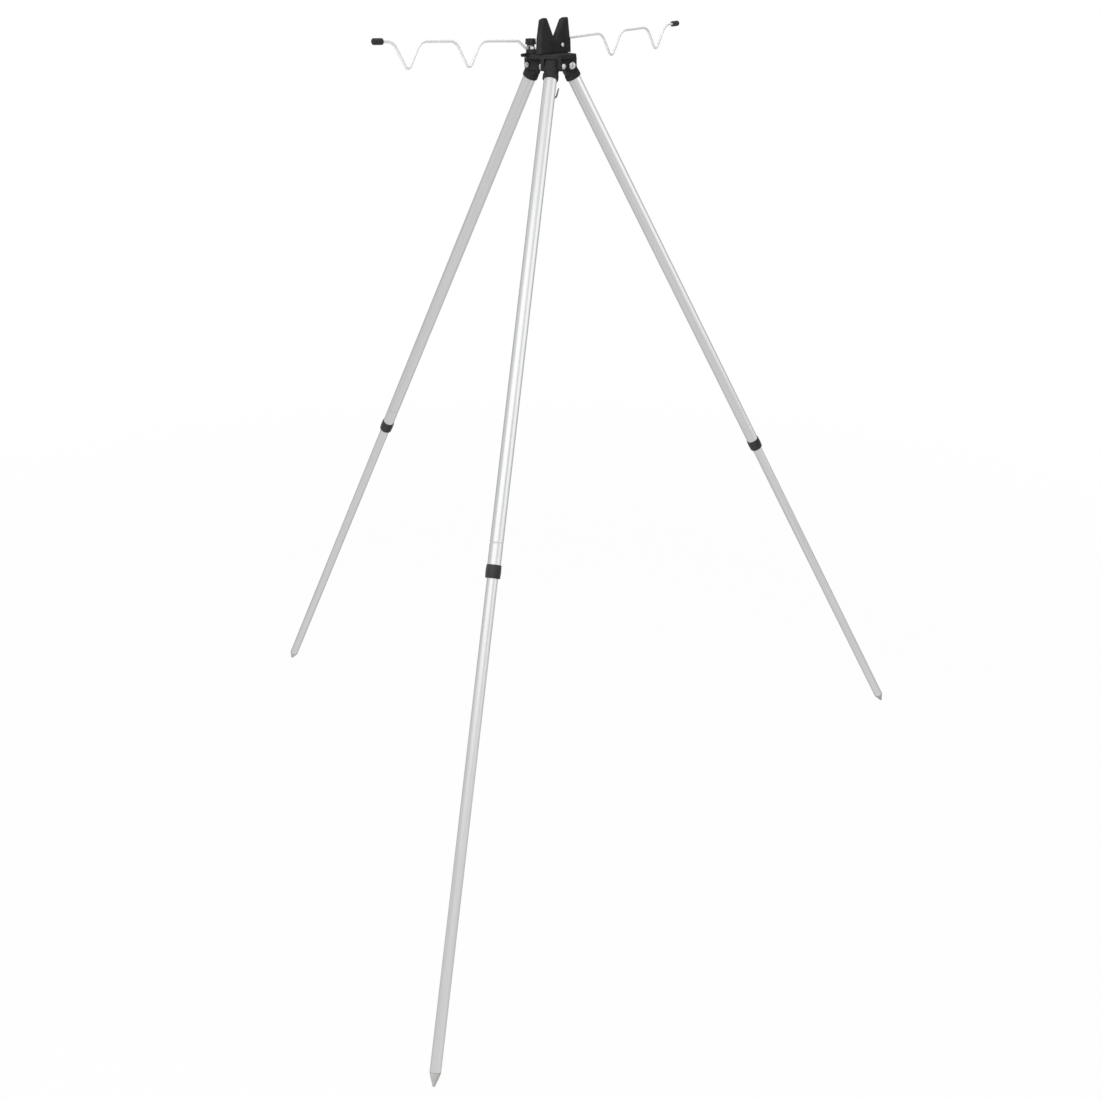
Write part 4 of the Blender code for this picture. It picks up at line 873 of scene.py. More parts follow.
def makeHub(size):
    inner = size["knuckleWidth"] / 2 + gap
    outer = inner + size["cheek"]
    bottom, top, deep = size["plateBottom"], size["plateTop"], size["cheekBottom"]
    levels = [(bottom, 0)] + roundedTop(top, size["plateFillet"], 6)
    half = outer - size["plateCorner"]
    corners = []
    for side in legSides:
        for sideways in (-half, half):
            spot = clevisSpot(side, size["clevisOut"] - size["plateCorner"], sideways)
            corners.append((*spot, size["plateCorner"]))
    corners += [(sign * size["pivotX"], size["pivotY"], size["earRadius"]) for sign in signs]
    discs = [(x, y, z, radius - inset) for x, y, radius in corners for z, inset in levels]
    obj = workObject(meshFrom(hullOfDiscs(discs)))
    end, high = size["clevisOut"], bottom + size["plateFillet"]
    for side in legSides:
        reach = legReach[side][0].length + 0.5 * outer
        weld(obj, clevisBlock(side, outer, end, reach, deep, high, size["cheekCorner"]))
    for side in legSides:
        cut(obj, clevisBlock(side, inner, end + beyond, size["clevisIn"], deep - beyond, bottom, 0))
        radius = size["cheekRound"]
        away = [(end - radius - gap, deep - beyond), (end + beyond, deep - beyond),
                (end + beyond, deep + radius + gap)]
        away += arcPoints((end - radius, deep + radius), radius, 0, -90, 16)
        outwardWay = legReach[side][1]
        turn = turnAbout("Z", math.degrees(math.atan2(outwardWay.y, outwardWay.x)))
        hinge = Matrix.Translation(legPlaces[side].translation - hubOrigin)
        cut(obj, prism(away, -outer - beyond, outer + beyond, "XZ"), hinge @ turn)
    for sign in signs:
        start = size["pivotX"] + size["earRadius"] / 2
        tip = size["pivotX"] + size["earRadius"] + size["pegLength"]
        spots = [(0, tip), (size["pegRadius"], tip), (size["pegRadius"], start), (0, start)]
        lie = shift(0, size["pivotY"], top - size["pegDrop"]) @ turnAbout("Y", sign * 90)
        weld(obj, lathed(spots, size["pegEdges"], 6, 32), lie)
    for side in legSides:
        lie = Matrix.Translation(-hubOrigin) @ legPlaces[side] @ turnAbout("X", 90)
        drill(obj, size["bolt"], -outer - beyond, outer + beyond, lie)
    for sign in signs:
        stud = shift(sign * size["pivotX"], size["pivotY"], 0)
        drill(obj, 2 * size["earRadius"], top, top + beyond, stud)
        drill(obj, size["stud"], 0, top + beyond, stud)
        cut(obj, prism(hexagonOutline(size["studFlats"] + 2 * gap), 0, bottom + size["studHead"] + gap), stud)
        screw = shift(sign * size["screwX"], size["screwY"], 0)
        drill(obj, size["screw"], deep - beyond, top + beyond, screw)
        drill(obj, size["screwHead"], deep - beyond, size["screwSeat"], screw)
    drill(obj, size["hookWire"], deep - beyond, top + beyond)
    drill(obj, size["hookHead"], top - size["hookHeadHeight"] - 2 * gap, top + beyond)
    return softened(obj, size)


bracketSizes = {
    "bossHeight": 0.0066, "uprightHalf": 0.0225, "uprightDepth": 0.010, "uprightTop": 0.0382,
    "uprightRound": 0.004, "ribWidth": 0.004, "ribX": 0.007, "ribDepth": 0.0085, "ribDrop": 0.004,
    "edge": 0.0012, "forkPlane": -0.0023, "screwDepth": 0.0265, "forkScrewX": 0.016, "forkScrewZ": 0.031,
    "forkScrewDepth": 0.0085, "voxel": 0.00036, "calm": 3, "keep": 0.5}


def forkScrewPlace(sign, y, bracket):
    return shift(sign * bracket["forkScrewX"], y, bracket["forkScrewZ"]) @ turnAbout("X", -90)


def makeBracket(size, hub):
    bottom = hub["plateTop"] + gap
    top = bottom + size["bossHeight"]
    front, edge = size["forkPlane"] + gap, size["edge"]
    corner = hub["plateCorner"]
    discs = []
    for z, inset in [(bottom, 0)] + roundedTop(top, edge, 4):
        for sign in signs:
            discs.append((sign * hub["pivotX"], hub["pivotY"], z, hub["earRadius"] - inset))
            nearX = sign * (hub["pivotX"] - hub["earRadius"])
            discs.append((nearX, front + corner, z, corner - inset))
    obj = workObject(meshFrom(hullOfDiscs(discs)))
    half, high, radius = size["uprightHalf"], size["uprightTop"], size["uprightRound"]
    face = [(-half, bottom + edge, 0), (half, bottom + edge, 0), (half, high, radius), (-half, high, radius)]
    weld(obj, prism(roundCorners(face), front, front + size["uprightDepth"], "XZ"))
    foot, ribTop = front + size["uprightDepth"], size["uprightTop"] - size["ribDrop"]
    slope = [(foot - edge, top - edge), (foot + size["ribDepth"], top - edge),
             (foot + size["ribDepth"], top + edge / 2), (foot, ribTop), (foot - edge, ribTop)]
    for sign in signs:
        low = sign * size["ribX"] - size["ribWidth"] / 2
        weld(obj, prism(slope, low, low + size["ribWidth"], "YZ"))
    for sign in signs:
        drill(obj, hub["stud"], 0, top + beyond, shift(sign * hub["pivotX"], hub["pivotY"], 0))
        drill(obj, hub["screw"], 0, size["screwDepth"], shift(sign * hub["screwX"], hub["screwY"], 0))
        depth = size["forkScrewDepth"] if sign > 0 else size["uprightDepth"] + beyond
        drill(obj, hub["screw"], -beyond, depth, forkScrewPlace(sign, front, size))
    return softened(obj, size)


forkSizes = {
    "depth": 0.0115, "tipDepth": 0.0102, "footHalf": 0.0398, "waistHalf": 0.0386, "tipHalf": 0.0332,
    "top": 0.0738, "corner": 0.0015, "frontCorner": 0.0022, "veeBottom": 0.0412, "veeBottomHalf": 0.0014,
    "veeTopHalf": 0.0205, "veeBlend": 0.007, "sink": 0.003, "crown": 0.0011, "crownSteps": 16,
    "cornerRound": 0.0016, "roundWidth": 0.0018, "veeRoundWidth": 0.0042, "roundShape": 0.75,
    "topRound": 0.0020, "fall": 0.0020, "dimple": 0.0130, "dimpleDepth": 0.0010, "rearStart": -0.005,
    "rearHole": 0.001, "voxel": 0.00038, "calm": 6, "keep": 0.5}


def evenly(value, low, high, first, last):
    return first + (last - first) * (value - low) / (high - low)


def hornLevels(size):
    # two convex runs of height, inset and share of the rounding beside the vee
    bottom = size["veeBottom"]
    low = [(bottom - size["sink"], 0, 0), (bottom, 0, 0), (bottom + size["veeBlend"], 0, 1)]
    high = [low[-1]] + [(z, inset, 1) for z, inset in roundedTop(size["top"], size["topRound"], 5)]
    return low, high


def hornDiscs(size, sign, back, levels):
    # a horn's outline at each level: two corners at the back and a row of discs along the rounded front
    discs = []
    radius = size["cornerRound"]
    for z, inset, veeShare in levels:
        fall = size["fall"] if z > size["veeBottom"] else 0
        for atBack in (False, True):
            height = z - fall if atBack else z
            reach = (max(height, size["veeBottom"]), size["veeBottom"], size["top"])
            inner = evenly(*reach, size["veeBottomHalf"], size["veeTopHalf"]) + radius
            outer = evenly(*reach, size["waistHalf"], size["tipHalf"]) - radius
            lean = evenly(*reach, 0, size["depth"] - size["tipDepth"])
            places = [(x, back - lean - radius) for x in (inner, outer)] if atBack else []
            for i in range(0 if atBack else size["crownSteps"] + 1):
                off = math.sin(math.pi * (i / size["crownSteps"] - 0.5))
                width = size["veeRoundWidth"] * veeShare if off < 0 else size["roundWidth"]
                fromEdge = (1 - abs(off)) * (outer - inner) / 2
                near = max(0, 1 - fromEdge / max(width, tiny))
                rise = size["crown"] * (off * off - 0.25)
                rise += size["roundShape"] * width * (1 - math.sqrt(1 - near * near))
                x = (inner + outer) / 2 + off * (outer - inner) / 2
                places.append((x, back - size["depth"] + radius + rise))
            keep = max(radius - inset, tiny)
            for x, y in places:
                discs.append((sign * (x + math.copysign(radius - inset - keep, x)), y, height, keep))
    return discs


def makeFork(size, hub, bracket):
    back = bracket["forkPlane"]
    rear, front = size["corner"], size["frontCorner"]
    discs = []
    for z, half in ((hub["plateTop"] + gap, size["footHalf"]), (size["veeBottom"], size["waistHalf"])):
        for sign in signs:
            discs += [(sign * (half - rear), back - rear, z, rear),
                      (sign * (half - front), back - size["depth"] + front, z, front)]
    obj = workObject(meshFrom(hullOfDiscs(discs)))
    for sign in signs:
        for levels in hornLevels(size):
            weld(obj, hullOfDiscs(hornDiscs(size, sign, back, levels), 24))
    through = forkScrewPlace(1, back - size["depth"], bracket)
    drill(obj, hub["screw"], -beyond, size["depth"] + beyond, through)
    cut(obj, cylinder(size["dimple"] / 2, -beyond, size["dimpleDepth"]), through)
    drill(obj, hub["screw"], size["rearStart"], size["rearHole"], forkScrewPlace(-1, back, bracket))
    return softened(obj, size)


addPiece("hubMoulding", makeHub(hubSizes), "head", blackNylon, ["hub"], hubPlace)
addPiece("armBracket", makeBracket(bracketSizes, hubSizes), "head", blackNylon, ["arm_bracket"],
         hubPlace)
addPiece("rodFork", makeFork(forkSizes, hubSizes, bracketSizes), "head", blackNylon, ["rod_fork"],
         hubPlace)
print("head: hub, bracket and fork")


# Screws, bolts and studs in the head

panScrew = {"radius": 0.0039, "height": 0.0028, "rim": 0.35, "shank": 0.0020, "length": 0.0140, "turn": 35}
longScrew = {**panScrew, "length": 0.0215, "turn": 50}
screwRecess = {"span": 0.0044, "width": 0.0009, "depth": 0.0015, "narrow": 0.45}
hingeBolt = {"radius": 0.0061, "height": 0.0040, "rim": 0.3, "shank": 0.0025, "thread": 0.0072,
             "pitch": 0.0008, "threadDepth": 0.0004, "nutFlats": 0.008, "nutHeight": 0.0047, "proud": 0.0012,
             "turn": 20, "turnStep": 50}
boltRecess = {"span": 0.0066, "width": 0.0014, "depth": 0.0021, "narrow": 0.45}
pivotSizes = {"washer": 0.00725, "washerThick": 0.0012, "washerEdges": (0.0003, 0.0003, 0, 0),
              "inKnob": 0.0060, "pitch": 0.001, "threadDepth": 0.0005}


def spotIn(place, point, turn):
    # a fastener's place and angles, as the tree of repeated fasteners reads them
    spot = place @ Matrix.Translation(point) @ turn
    return spot.translation, spot.to_euler()


def addFasteners(name, mesh, spots, nodes, angle=32):
    # copies of one fastener at the spots, as one piece on the head
    copies = sharpen(repeated(mesh, brightSteel, spots), angle)
    addPiece(name, copies, "head", brightSteel, nodes)


def threadMesh(radius, length, middle, size):
    obj = runTree(threadTree, brightSteel, {"Radius": radius, "Length": length, "Pitch": size["pitch"],
                                            "Depth": size["threadDepth"]})
    mesh = finishedMesh(obj)
    mesh.transform(shift(0, 0, middle))
    return mesh


def addHeadScrews(hub, bracket, fork):
    forkFront = bracket["forkPlane"] - fork["depth"] + fork["dimpleDepth"] - gap
    uprightBack = bracket["forkPlane"] + gap + bracket["uprightDepth"] + gap
    x, z = bracket["forkScrewX"], bracket["forkScrewZ"]
    spots = [spotIn(hubPlace, (x, forkFront, z), turnAbout("X", -90)),
             spotIn(hubPlace, (-x, uprightBack, z), turnAbout("X", 90) @ turnAbout("Z", panScrew["turn"]))]
    addFasteners("forkScrews", headedScrew(panScrew, screwRecess), spots,
                 ["fork_screw_front", "fork_screw_rear"])
    spots = []
    for sign in signs:
        seat = (sign * hub["screwX"], hub["screwY"], hub["screwSeat"] - gap)
        spots.append(spotIn(hubPlace, seat, turnAbout("Z", longScrew["turn"] * sign)))
    addFasteners("bracketScrews", headedScrew(longScrew, screwRecess), spots,
                 ["bracket_screw_left", "bracket_screw_right"])


def addHinges(size, hub):
    # bolts lie across the legs: the head outside one cheek, the nut outside the other
    reach = hub["knuckleWidth"] / 2 + gap + hub["cheek"] + gap
    end = reach + size["nutHeight"] + size["proud"]
    bolt = headedScrew({**size, "length": reach + end - size["thread"]}, boltRecess)
    bolt.transform(shift(0, 0, -reach))
    thread = threadMesh(size["shank"], size["thread"], end - size["thread"] / 2, size)
    nut = chamferedHexagon(size["nutFlats"], reach, reach + size["nutHeight"], size["shank"] + gap / 2)
    spots = []
    for i, side in enumerate(legSides):
        turn = turnAbout("X", -90) @ turnAbout("Z", size["turn"] + size["turnStep"] * i)
        spots.append(spotIn(legPlaces[side], (0, 0, 0), turn))
    addFasteners("hingeBolts", joinMeshes([bolt, thread]), spots, ["hinge_bolt_" + side for side in legSides])
    addFasteners("hingeNuts", nut, spots, ["hinge_nut_" + side for side in legSides], 20)


def addPivots(size, hub, bracket):
    # returns the height of the knobs' undersides
    headTop = hub["plateBottom"] + hub["studHead"]
    bossTop = hub["plateTop"] + gap + bracket["bossHeight"]
    low = measure("pivot_washer_left", armPlaces["left"])[0].z
    high = low + size["washerThick"]
    top = high + gap + size["inKnob"]
    radius = hub["stud"] / 2
    stud = joinMeshes([meshFrom(cylinder(radius, headTop - hub["studHead"] / 2, bossTop)),
                       threadMesh(radius, top - bossTop, (top + bossTop) / 2, size),
                       chamferedHexagon(hub["studFlats"], hub["plateBottom"], headTop)])
    ring = [(size["washer"], high), (size["washer"], low), (radius + gap, low), (radius + gap, high)]
    washer = meshFrom(lathed(ring, size["washerEdges"], 3, 64, closed=True))
    spots = [spotIn(armPlaces[side], (0, 0, 0), Matrix.Identity(4)) for side in armSides]
    addFasteners("pivotStuds", stud, spots, ["pivot_stud_" + side for side in armSides], 20)
    addFasteners("pivotWashers", washer, spots, ["pivot_washer_" + side for side in armSides])
    return high + gap


addHeadScrews(hubSizes, bracketSizes, forkSizes)
addHinges(hingeBolt, hubSizes)
knobLow = addPivots(pivotSizes, hubSizes, bracketSizes)
print("fasteners: 4 screws, 3 hinge bolts with nuts, 2 studs with washers")


# Clamp knobs; edges are the roundings of a turned profile, from its top down

knobSizes = {
    "radius": 0.0091, "topRadius": 0.0084, "height": 0.0104, "collar": 0.0064, "collarHeight": 0.0012,
    "dish": 0.0009, "dishRadius": 0.0050, "dishFloor": 0.0040, "lobes": 6, "lobeDepth": 0.0015,
    "bore": 0.003, "boreDepth": 0.0063,
    "edges": (0, 0.001, 0.0008, 0.0012, 0.00072, 0.0004, 0.0003, 0.0002, 0, 0)}


def addKnob(side, size, low):
    top, grip, dish = low + size["height"], low + size["collarHeight"], low + size["height"] - size["dish"]
    bore, boreTop = size["bore"] + gap, low + size["boreDepth"]
    spots = [(0, dish), (size["dishFloor"], dish), (size["dishRadius"], top), (size["topRadius"], top),
             (size["radius"], grip), (size["collar"], grip), (size["collar"], low), (bore, low),
             (bore, boreTop), (0, boreTop)]
    obj = runTree(lobeTree, blackNylon, {
        "Lobes": size["lobes"], "Depth": size["lobeDepth"], "Radius": size["radius"],
        "From Radius": size["collar"]}, meshFrom(lathed(spots, size["edges"], 5, 96)))
    addPiece("clampKnob" + side.title(), sharpen(finishedMesh(obj), 40), "knob_" + side, blackNylon,
             ["clamp_knob_" + side], armPlaces[side])


for side in armSides:
    addKnob(side, knobSizes, knobLow)


# Rod arms of bent wire, with rubber caps on their ends

armSizes = {
    "thickness": 0.0045, "eyeGap": 38, "eyeEnd": 348, "eyeSteps": 30, "rise": 2.2, "lineZ": 0.0372,
    "dips": (0.1850, 0.3195), "dipDepth": 0.0386, "dipHalf": 0.0288, "dipTopRound": 0.0232,
    "dipLowRound": 0.0070, "neckStart": 0.0135, "neckEnd": 0.0307, "neckRound": 0.008, "end": 0.3857}
capSizes = {"radius": 0.0048, "length": 0.0180, "overWire": 0.0154,
            "edges": (0, 0.0018, 0.0008, 0.0004, 0, 0)}


def armHeight(size, x):
    return size["lineZ"] + x * math.tan(math.radians(size["rise"]))


def armPath(size, pivotX, eyeZ):
    # corners of the wire as (x, y, z, bend radius), after the flat eye round the stud
    ring = hubSizes["stud"] / 2 + 2 * gap + size["thickness"] / 2
    eye = arcPoints((0, 0), ring, size["eyeGap"], size["eyeEnd"], size["eyeSteps"])
    points = [(x, y, eyeZ, 0.0) for x, y in eye]
    points.append((size["neckStart"], 0, eyeZ, size["neckRound"]))
    points.append((size["neckEnd"], 0, armHeight(size, pivotX + size["neckEnd"]), size["neckRound"]))
    half, topRound, lowRound = size["dipHalf"], size["dipTopRound"], size["dipLowRound"]
    slant = math.atan2(half, size["dipDepth"])
    below = size["dipDepth"] + lowRound * (1 / math.sin(slant) - 1)
    for station in size["dips"]:
        for offset, drop, bend in ((-half, 0, topRound), (0, below, lowRound), (half, 0, topRound)):
            x = station + offset
            points.append((x - pivotX, 0, armHeight(size, x) - drop, bend))
    points.append((size["end"] - pivotX, 0, armHeight(size, size["end"]), 0.0))
    return points


def wireMesh(points, material, inputs):
    base = bpy.data.meshes.new("path")
    base.from_pydata([point[:3] for point in points], [(i, i + 1) for i in range(len(points) - 1)], [])
    bends = base.attributes.new("bend", "FLOAT", "POINT")
    for i, point in enumerate(points):
        bends.data[i].value = point[3]
    return sharpen(finishedMesh(runTree(wireTree, material, inputs, base)), 50)


def addArm(side, size, cap):
    place = armPlaces[side]
    pivotX = abs(place.translation.x)
    half = size["thickness"] / 2
    eyeZ = measure("pivot_washer_" + side, place)[0].z - gap - half
    mesh = wireMesh(armPath(size, pivotX, eyeZ), whiteCoating, {
        "Thickness": size["thickness"], "Bend Steps": 14, "Sides": 24})
    addPiece("rackArm" + side.title(), mesh, "arm_" + side, whiteCoating, ["rack_arm_" + side],
             place)
    inner, depth = half + gap, cap["overWire"] + gap
    radius, length = cap["radius"], cap["length"]
    spots = [(0, length), (radius, length), (radius, 0), (inner, 0), (inner, depth), (0, depth)]
    mesh = sharpen(meshFrom(lathed(spots, cap["edges"], 8, 64)))
    x = size["end"] - cap["overWire"] * math.cos(math.radians(size["rise"]))
    lie = shift(x - pivotX, 0, armHeight(size, x)) @ turnAbout("Y", 90 - size["rise"])
    addPiece("endCap" + side.title(), mesh, "arm_" + side, blackRubber, ["end_cap_" + side],
             place @ lie)


for side in armSides:
    addArm(side, armSizes, capSizes)
print("arms: wires, caps and knobs")


# Ballast hook

hookSizes = {"wire": 0.0030, "bend": 0.0068, "drop": 0.0455, "tipRise": 0.0090, "tipLean": 0.35, "turn": -80,
             "headRadius": 0.0040, "headHeight": 0.0020, "edges": (0, 0.0005, 0.0005, 0, 0, 0)}


def addHook(size, plateTop):
    top = plateTop - gap
    neck = top - size["headHeight"]
    bend, drop = size["bend"], size["drop"]
    tip = (2 * bend + size["tipRise"] * size["tipLean"], -drop + size["tipRise"])
    run = [(0, neck - gap)] + arcPoints((bend, -drop), bend, 180, 360, 20) + [tip]
    wire = wireMesh([(x, 0, z, 0.0) for x, z in run], darkSteel, {
        "Thickness": size["wire"], "Sides": 20, "End Round": 0.0005})
    radius, half, low = size["headRadius"], size["wire"] / 2, neck - 2 * gap
    spots = [(0, top), (radius, top), (radius, neck), (half, neck), (half, low), (0, low)]
    head = meshFrom(lathed(spots, size["edges"], 4, 48))
    addPiece("ballastHook", sharpen(joinMeshes([wire, head]), 40), "hook", darkSteel, ["ballast_hook"],
             hubPlace @ turnAbout("Z", size["turn"]))


addHook(hookSizes, hubSizes["plateTop"])
print("hook: bent wire under the hub")


# Legs

ferruleSizes = {
    "width": 0.022, "radius": 0.0107, "neck": 0.01075, "edge": 0.0009, "skirt": 0.0133, "skirtStart": 0.0125,
    "flare": 0.003, "skirtEnd": 0.0235, "spigot": 0.028, "bore": 0.0055, "tubeTop": 0.0145, "spread": 29.7,
    "plugTop": 0.004, "plugInset": 0.001, "boreTop": 0.008, "backStart": 175, "backDrop": 0.35,
    "edges": (0, 0, 0.001, 0.002, 0.0009, 0.0004, 0, 0, 0.0006, 0.0004, 0.002, 0),
    "voxel": 0.00036, "calm": 2, "keep": 0.4}
tubeSizes = {"upperWall": 0.0012, "lowerWall": 0.0010, "grooveWidth": 0.004, "grooveDepth": 0.0006,
             "grooveRise": 0.035, "rim": 0.0004}
collarSizes = {"crown": 0.0006, "edges": (0.0003, 0.0012, 0.08, 0.0012, 0.0004, 0, 0)}
footSizes = {"cone": 0.020, "tip": 0.0020, "shoulder": 0.0022,
             "edges": (0, 0.001, 0, 0.0003, 0.0012, 0.0005, 0)}


def knuckleOutline(size):
    # side view of the knuckle: a crown round the hinge and a flat heel that meets the hub's plate
    neck, radius = size["neck"], size["radius"]
    foot = -size["skirtStart"] - size["flare"] / 3
    spread = math.radians(size["spread"])
    crown = arcPoints((0, 0), radius, size["backStart"], 90 + size["spread"], 18)
    level = Vector((math.cos(spread), -math.sin(spread)))
    heel = Vector((math.sin(spread), math.cos(spread))) * radius
    heel = heel + level * ((neck - heel.x) / level.x)
    back = [(-neck, foot), (-neck, -radius * size["backDrop"])]
    return back + crown + [tuple(heel), (neck, foot)]


def makeFerrule(size, tubeRadius, wall):
    half = size["width"] / 2
    obj = workObject(meshFrom(prism(knuckleOutline(size), -half, half, "XZ")))
    addModifier(obj, "BEVEL", width=size["edge"], segments=4, limit_method="ANGLE",
                angle_limit=math.radians(60))
    combine(obj, cylinder(size["skirt"], -2 * half, 2 * half, 96), "INTERSECT")
    start, end, tubeTop = -size["skirtStart"], -size["skirtEnd"], -size["tubeTop"] + gap
    neck, skirt, bore = size["neck"], size["skirt"], size["bore"]
    outside, inside = tubeRadius + gap, tubeRadius - wall - gap
    low = -size["tubeTop"] - size["spigot"]
    plugTop, boreTop = start + size["plugTop"], start - size["boreTop"]
    spots = [(0, plugTop), (neck - size["plugInset"], plugTop), (neck, start), (skirt, start - size["flare"]),
             (skirt, end), (outside, end), (outside, tubeTop), (inside, tubeTop), (inside, low), (bore, low),
             (bore, boreTop), (0, boreTop)]
    weld(obj, lathed(spots, size["edges"], 6, 96))
    drill(obj, hubSizes["bolt"], -half - beyond, half + beyond, turnAbout("X", 90))
    return softened(obj, size)


def tubeMesh(high, low, radius, wall, groove):
    middle, width, depth = groove
    obj = runTree(tubeTree, satinAluminium, {
        "High": high, "Low": low, "Radius": radius, "Groove Middle": middle, "Groove Width": width,
        "Groove Depth": depth, "Rim Round": tubeSizes["rim"], "Rings": 60, "Sides": 80})
    addModifier(obj, "SOLIDIFY", thickness=wall, offset=-1, use_even_offset=False)
    return sharpen(finishedMesh(obj), 40)


def makeCollar(size, high, low, outer, upper, lower, shelf):
    crown = outer - size["crown"]
    spots = [(upper, high), (crown, high), (outer, (high + low) / 2), (crown, low), (lower, low),
             (lower, shelf), (upper, shelf)]
    return sharpen(meshFrom(lathed(spots, size["edges"], 8, 96, closed=True)))


def makeFootPlug(size, radius, spigot, top):
    tip = -legLength
    shoulder = tip + size["cone"]
    seat = shoulder + size["shoulder"]
    spots = [(0, top), (spigot, top), (spigot, seat), (radius, seat), (radius, shoulder), (size["tip"], tip),
             (0, tip)]
    return sharpen(meshFrom(lathed(spots, size["edges"], 8, 80)))


def addLeg(side):
    place = legPlaces[side]
    title = side.title()
    upper, lower = "upper_leg_" + side, "lower_leg_" + side
    upperLow, upperHigh = measure("upper_tube_" + side, place)
    lowerLow, lowerHigh = measure("lower_tube_" + side, place)
    collarLow, collarHigh = measure("collar_" + side, place)
    upperRadius, lowerRadius = upperHigh.y, lowerHigh.y
    ferrule = makeFerrule(ferruleSizes, upperRadius, tubeSizes["upperWall"])
    addPiece("ferrule" + title, ferrule, upper, blackNylon, ["ferrule_" + side], place)
    groove = (collarHigh.z + tubeSizes["grooveRise"], tubeSizes["grooveWidth"], tubeSizes["grooveDepth"])
    mesh = tubeMesh(upperHigh.z, upperLow.z, upperRadius, tubeSizes["upperWall"], groove)
    addPiece("upperTube" + title, mesh, upper, satinAluminium, ["upper_tube_" + side],
             place)
    collar = makeCollar(collarSizes, collarHigh.z, collarLow.z, collarHigh.y, upperRadius + gap,
                        lowerRadius + gap, upperLow.z - gap)
    addPiece("collar" + title, collar, upper, polishedNylon, ["collar_" + side], place)
    plain = ((lowerHigh.z + lowerLow.z) / 2, tubeSizes["grooveWidth"], 0)
    mesh = tubeMesh(lowerHigh.z, lowerLow.z, lowerRadius, tubeSizes["lowerWall"], plain)
    addPiece("lowerTube" + title, mesh, lower, satinAluminium, ["lower_tube_" + side],
             place)
    footTop = measure("foot_plug_" + side, place)[1].z
    foot = makeFootPlug(footSizes, lowerRadius, lowerRadius - tubeSizes["lowerWall"] - gap, footTop)
    addPiece("footPlug" + title, foot, lower, footNylon, ["foot_plug_" + side], place)
    for node in ("lock_spindle_" + side, "lock_sleeve_" + side):
        frame["nodes"][node].data.materials.clear()
        frame["nodes"][node].data.materials.append(whiteAcetal)
    print("leg:", side)


for side in legSides:
    addLeg(side)


# Studio: pale floor, soft boxes, white ground

floorSizes = {"half": 6.0, "whiteFrom": 1.2, "whiteTo": 3.0, "show": 0.97, "tone": (0.88, 0.88, 0.88, 1)}
groundLight = 0.30
lamps = {
    "over the camera": {"at": (-2.7, -1.25, 3.1), "aim": (0, -0.23, 1.45), "size": (5.2, 2.4), "power": 31},
    "right side": {"at": (1.5, -3.0, 1.8), "aim": (0, -0.2, 1.1), "size": (3.0, 2.6), "power": 17,
                   "diffuse": False},
    "left side": {"at": (-3.0, -0.2, 2.7), "aim": (0, -0.2, 1.1), "size": (2.0, 2.0), "power": 32,
                  "glossy": False},
    "overhead": {"at": (0.3, 0.2, 4.0), "aim": (0, -0.2, 1.4), "size": (0.9, 0.9), "power": 26},
    "front": {"at": (-2.5, -1.75, 2.1), "aim": (0, -0.2, 1.3), "size": (1.4, 1.4), "power": 26,
              "glossy": False}}


def straightRays(tree):
    # 1 for rays from the camera, off gloss and through glass, which show the ground white
    ray = addNode(tree, "ShaderNodeLightPath").outputs
    mirrored = maths(tree, "MAXIMUM", ray["Is Glossy Ray"], ray["Is Transmission Ray"])
    return maths(tree, "MAXIMUM", ray["Is Camera Ray"], mirrored)


def makeFloor(size):
    bm = bmesh.new()
    bmesh.ops.create_grid(bm, x_segments=8, y_segments=8, size=size["half"])
    floor = bpy.data.objects.new("studioFloor", meshFrom(bm))
    bpy.context.scene.collection.objects.link(floor)
    material = bpy.data.materials.new("pale floor")
    material.use_nodes = True
    tree = material.node_tree
    tree.nodes.remove(tree.nodes["Principled BSDF"])
    lit = output(tree, "ShaderNodeBsdfDiffuse", {"Color": size["tone"]})
    white = output(tree, "ShaderNodeEmission", {"Color": (1, 1, 1, 1), "Strength": 1.0})
    where = objectCoordinates(tree)
    reach = addNode(tree, "ShaderNodeVectorMath", {0: where}, operation="LENGTH").outputs["Value"]
    fade = ramp(tree, reach, size["whiteFrom"], size["whiteTo"], size["show"], 1.0)
    share = times(tree, fade, straightRays(tree))
    mix = output(tree, "ShaderNodeMixShader", {0: share, 1: lit, 2: white})
    tree.links.new(mix, tree.nodes["Material Output"].inputs[0])
    floor.data.materials.append(material)


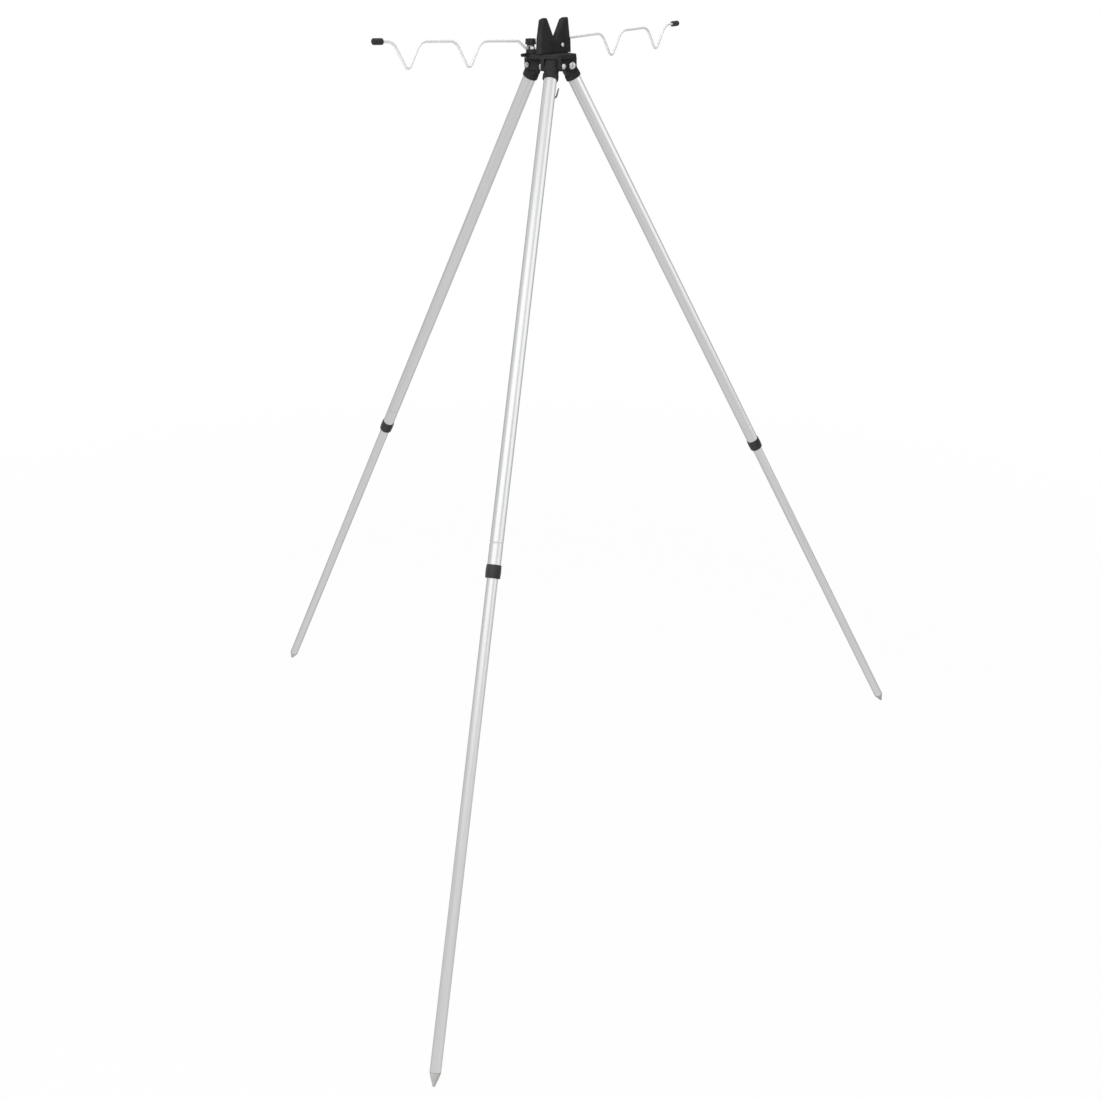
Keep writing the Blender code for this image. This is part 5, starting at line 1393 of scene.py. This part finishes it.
def makeWorld(strength):
    world = bpy.data.worlds.new("studio")
    bpy.context.scene.world = world
    world.use_nodes = True
    tree = world.node_tree
    ground = tree.nodes["Background"]
    ground.inputs["Color"].default_value = (1, 1, 1, 1)
    tree.links.new(ramp(tree, straightRays(tree), 0.0, 1.0, strength, 1.0), ground.inputs["Strength"])


def addLamp(name, lamp):
    light = bpy.data.lights.new(name, "AREA")
    light.shape = "RECTANGLE"
    light.size, light.size_y = lamp["size"]
    light.energy = lamp["power"]
    obj = bpy.data.objects.new(name, light)
    obj.visible_diffuse = lamp.get("diffuse", True)
    obj.visible_glossy = lamp.get("glossy", True)
    obj.location = lamp["at"]
    toward = Vector(lamp["aim"]) - Vector(lamp["at"])
    obj.rotation_euler = toward.to_track_quat("-Z", "Y").to_euler()
    bpy.context.scene.collection.objects.link(obj)


makeFloor(floorSizes)
makeWorld(groundLight)
for name, lamp in lamps.items():
    addLamp(name, lamp)


# Camera: where the photograph was taken from, counted from the hub

view = {"azimuth": -140.177, "distance": 2.3140, "rise": 0.1552, "pitch": 24.364, "roll": -0.197,
        "yaw": 0.069, "focal": 1295.6, "imageSize": 1100, "sensor": 36.0, "nearest": 0.05}


def makeCamera(view):
    azimuth, pitch, roll = (math.radians(view[key]) for key in ("azimuth", "pitch", "roll"))
    reach = view["distance"]
    station = Vector((reach * math.cos(azimuth), reach * math.sin(azimuth), view["rise"]))
    facing = azimuth + math.pi + math.radians(view["yaw"])
    ahead = math.cos(pitch)
    forward = Vector((math.cos(facing) * ahead, math.sin(facing) * ahead, -math.sin(pitch)))
    level = forward.cross(Vector((0, 0, 1))).normalized()
    upright = level.cross(forward).normalized()
    right = level * math.cos(roll) + upright * math.sin(roll)
    up = upright * math.cos(roll) - level * math.sin(roll)
    camera = bpy.data.cameras.new("camera")
    camera.sensor_width = view["sensor"]
    camera.lens = view["focal"] / view["imageSize"] * view["sensor"]
    camera.clip_start = view["nearest"]
    obj = bpy.data.objects.new("camera", camera)
    place = Matrix((right, up, -forward)).transposed().to_4x4()
    place.translation = hubOrigin + station
    obj.matrix_world = place
    bpy.context.scene.collection.objects.link(obj)
    bpy.context.scene.camera = obj


makeCamera(view)
bpy.context.scene.view_settings.view_transform = "Standard"
print("studio: floor, lamps and camera")
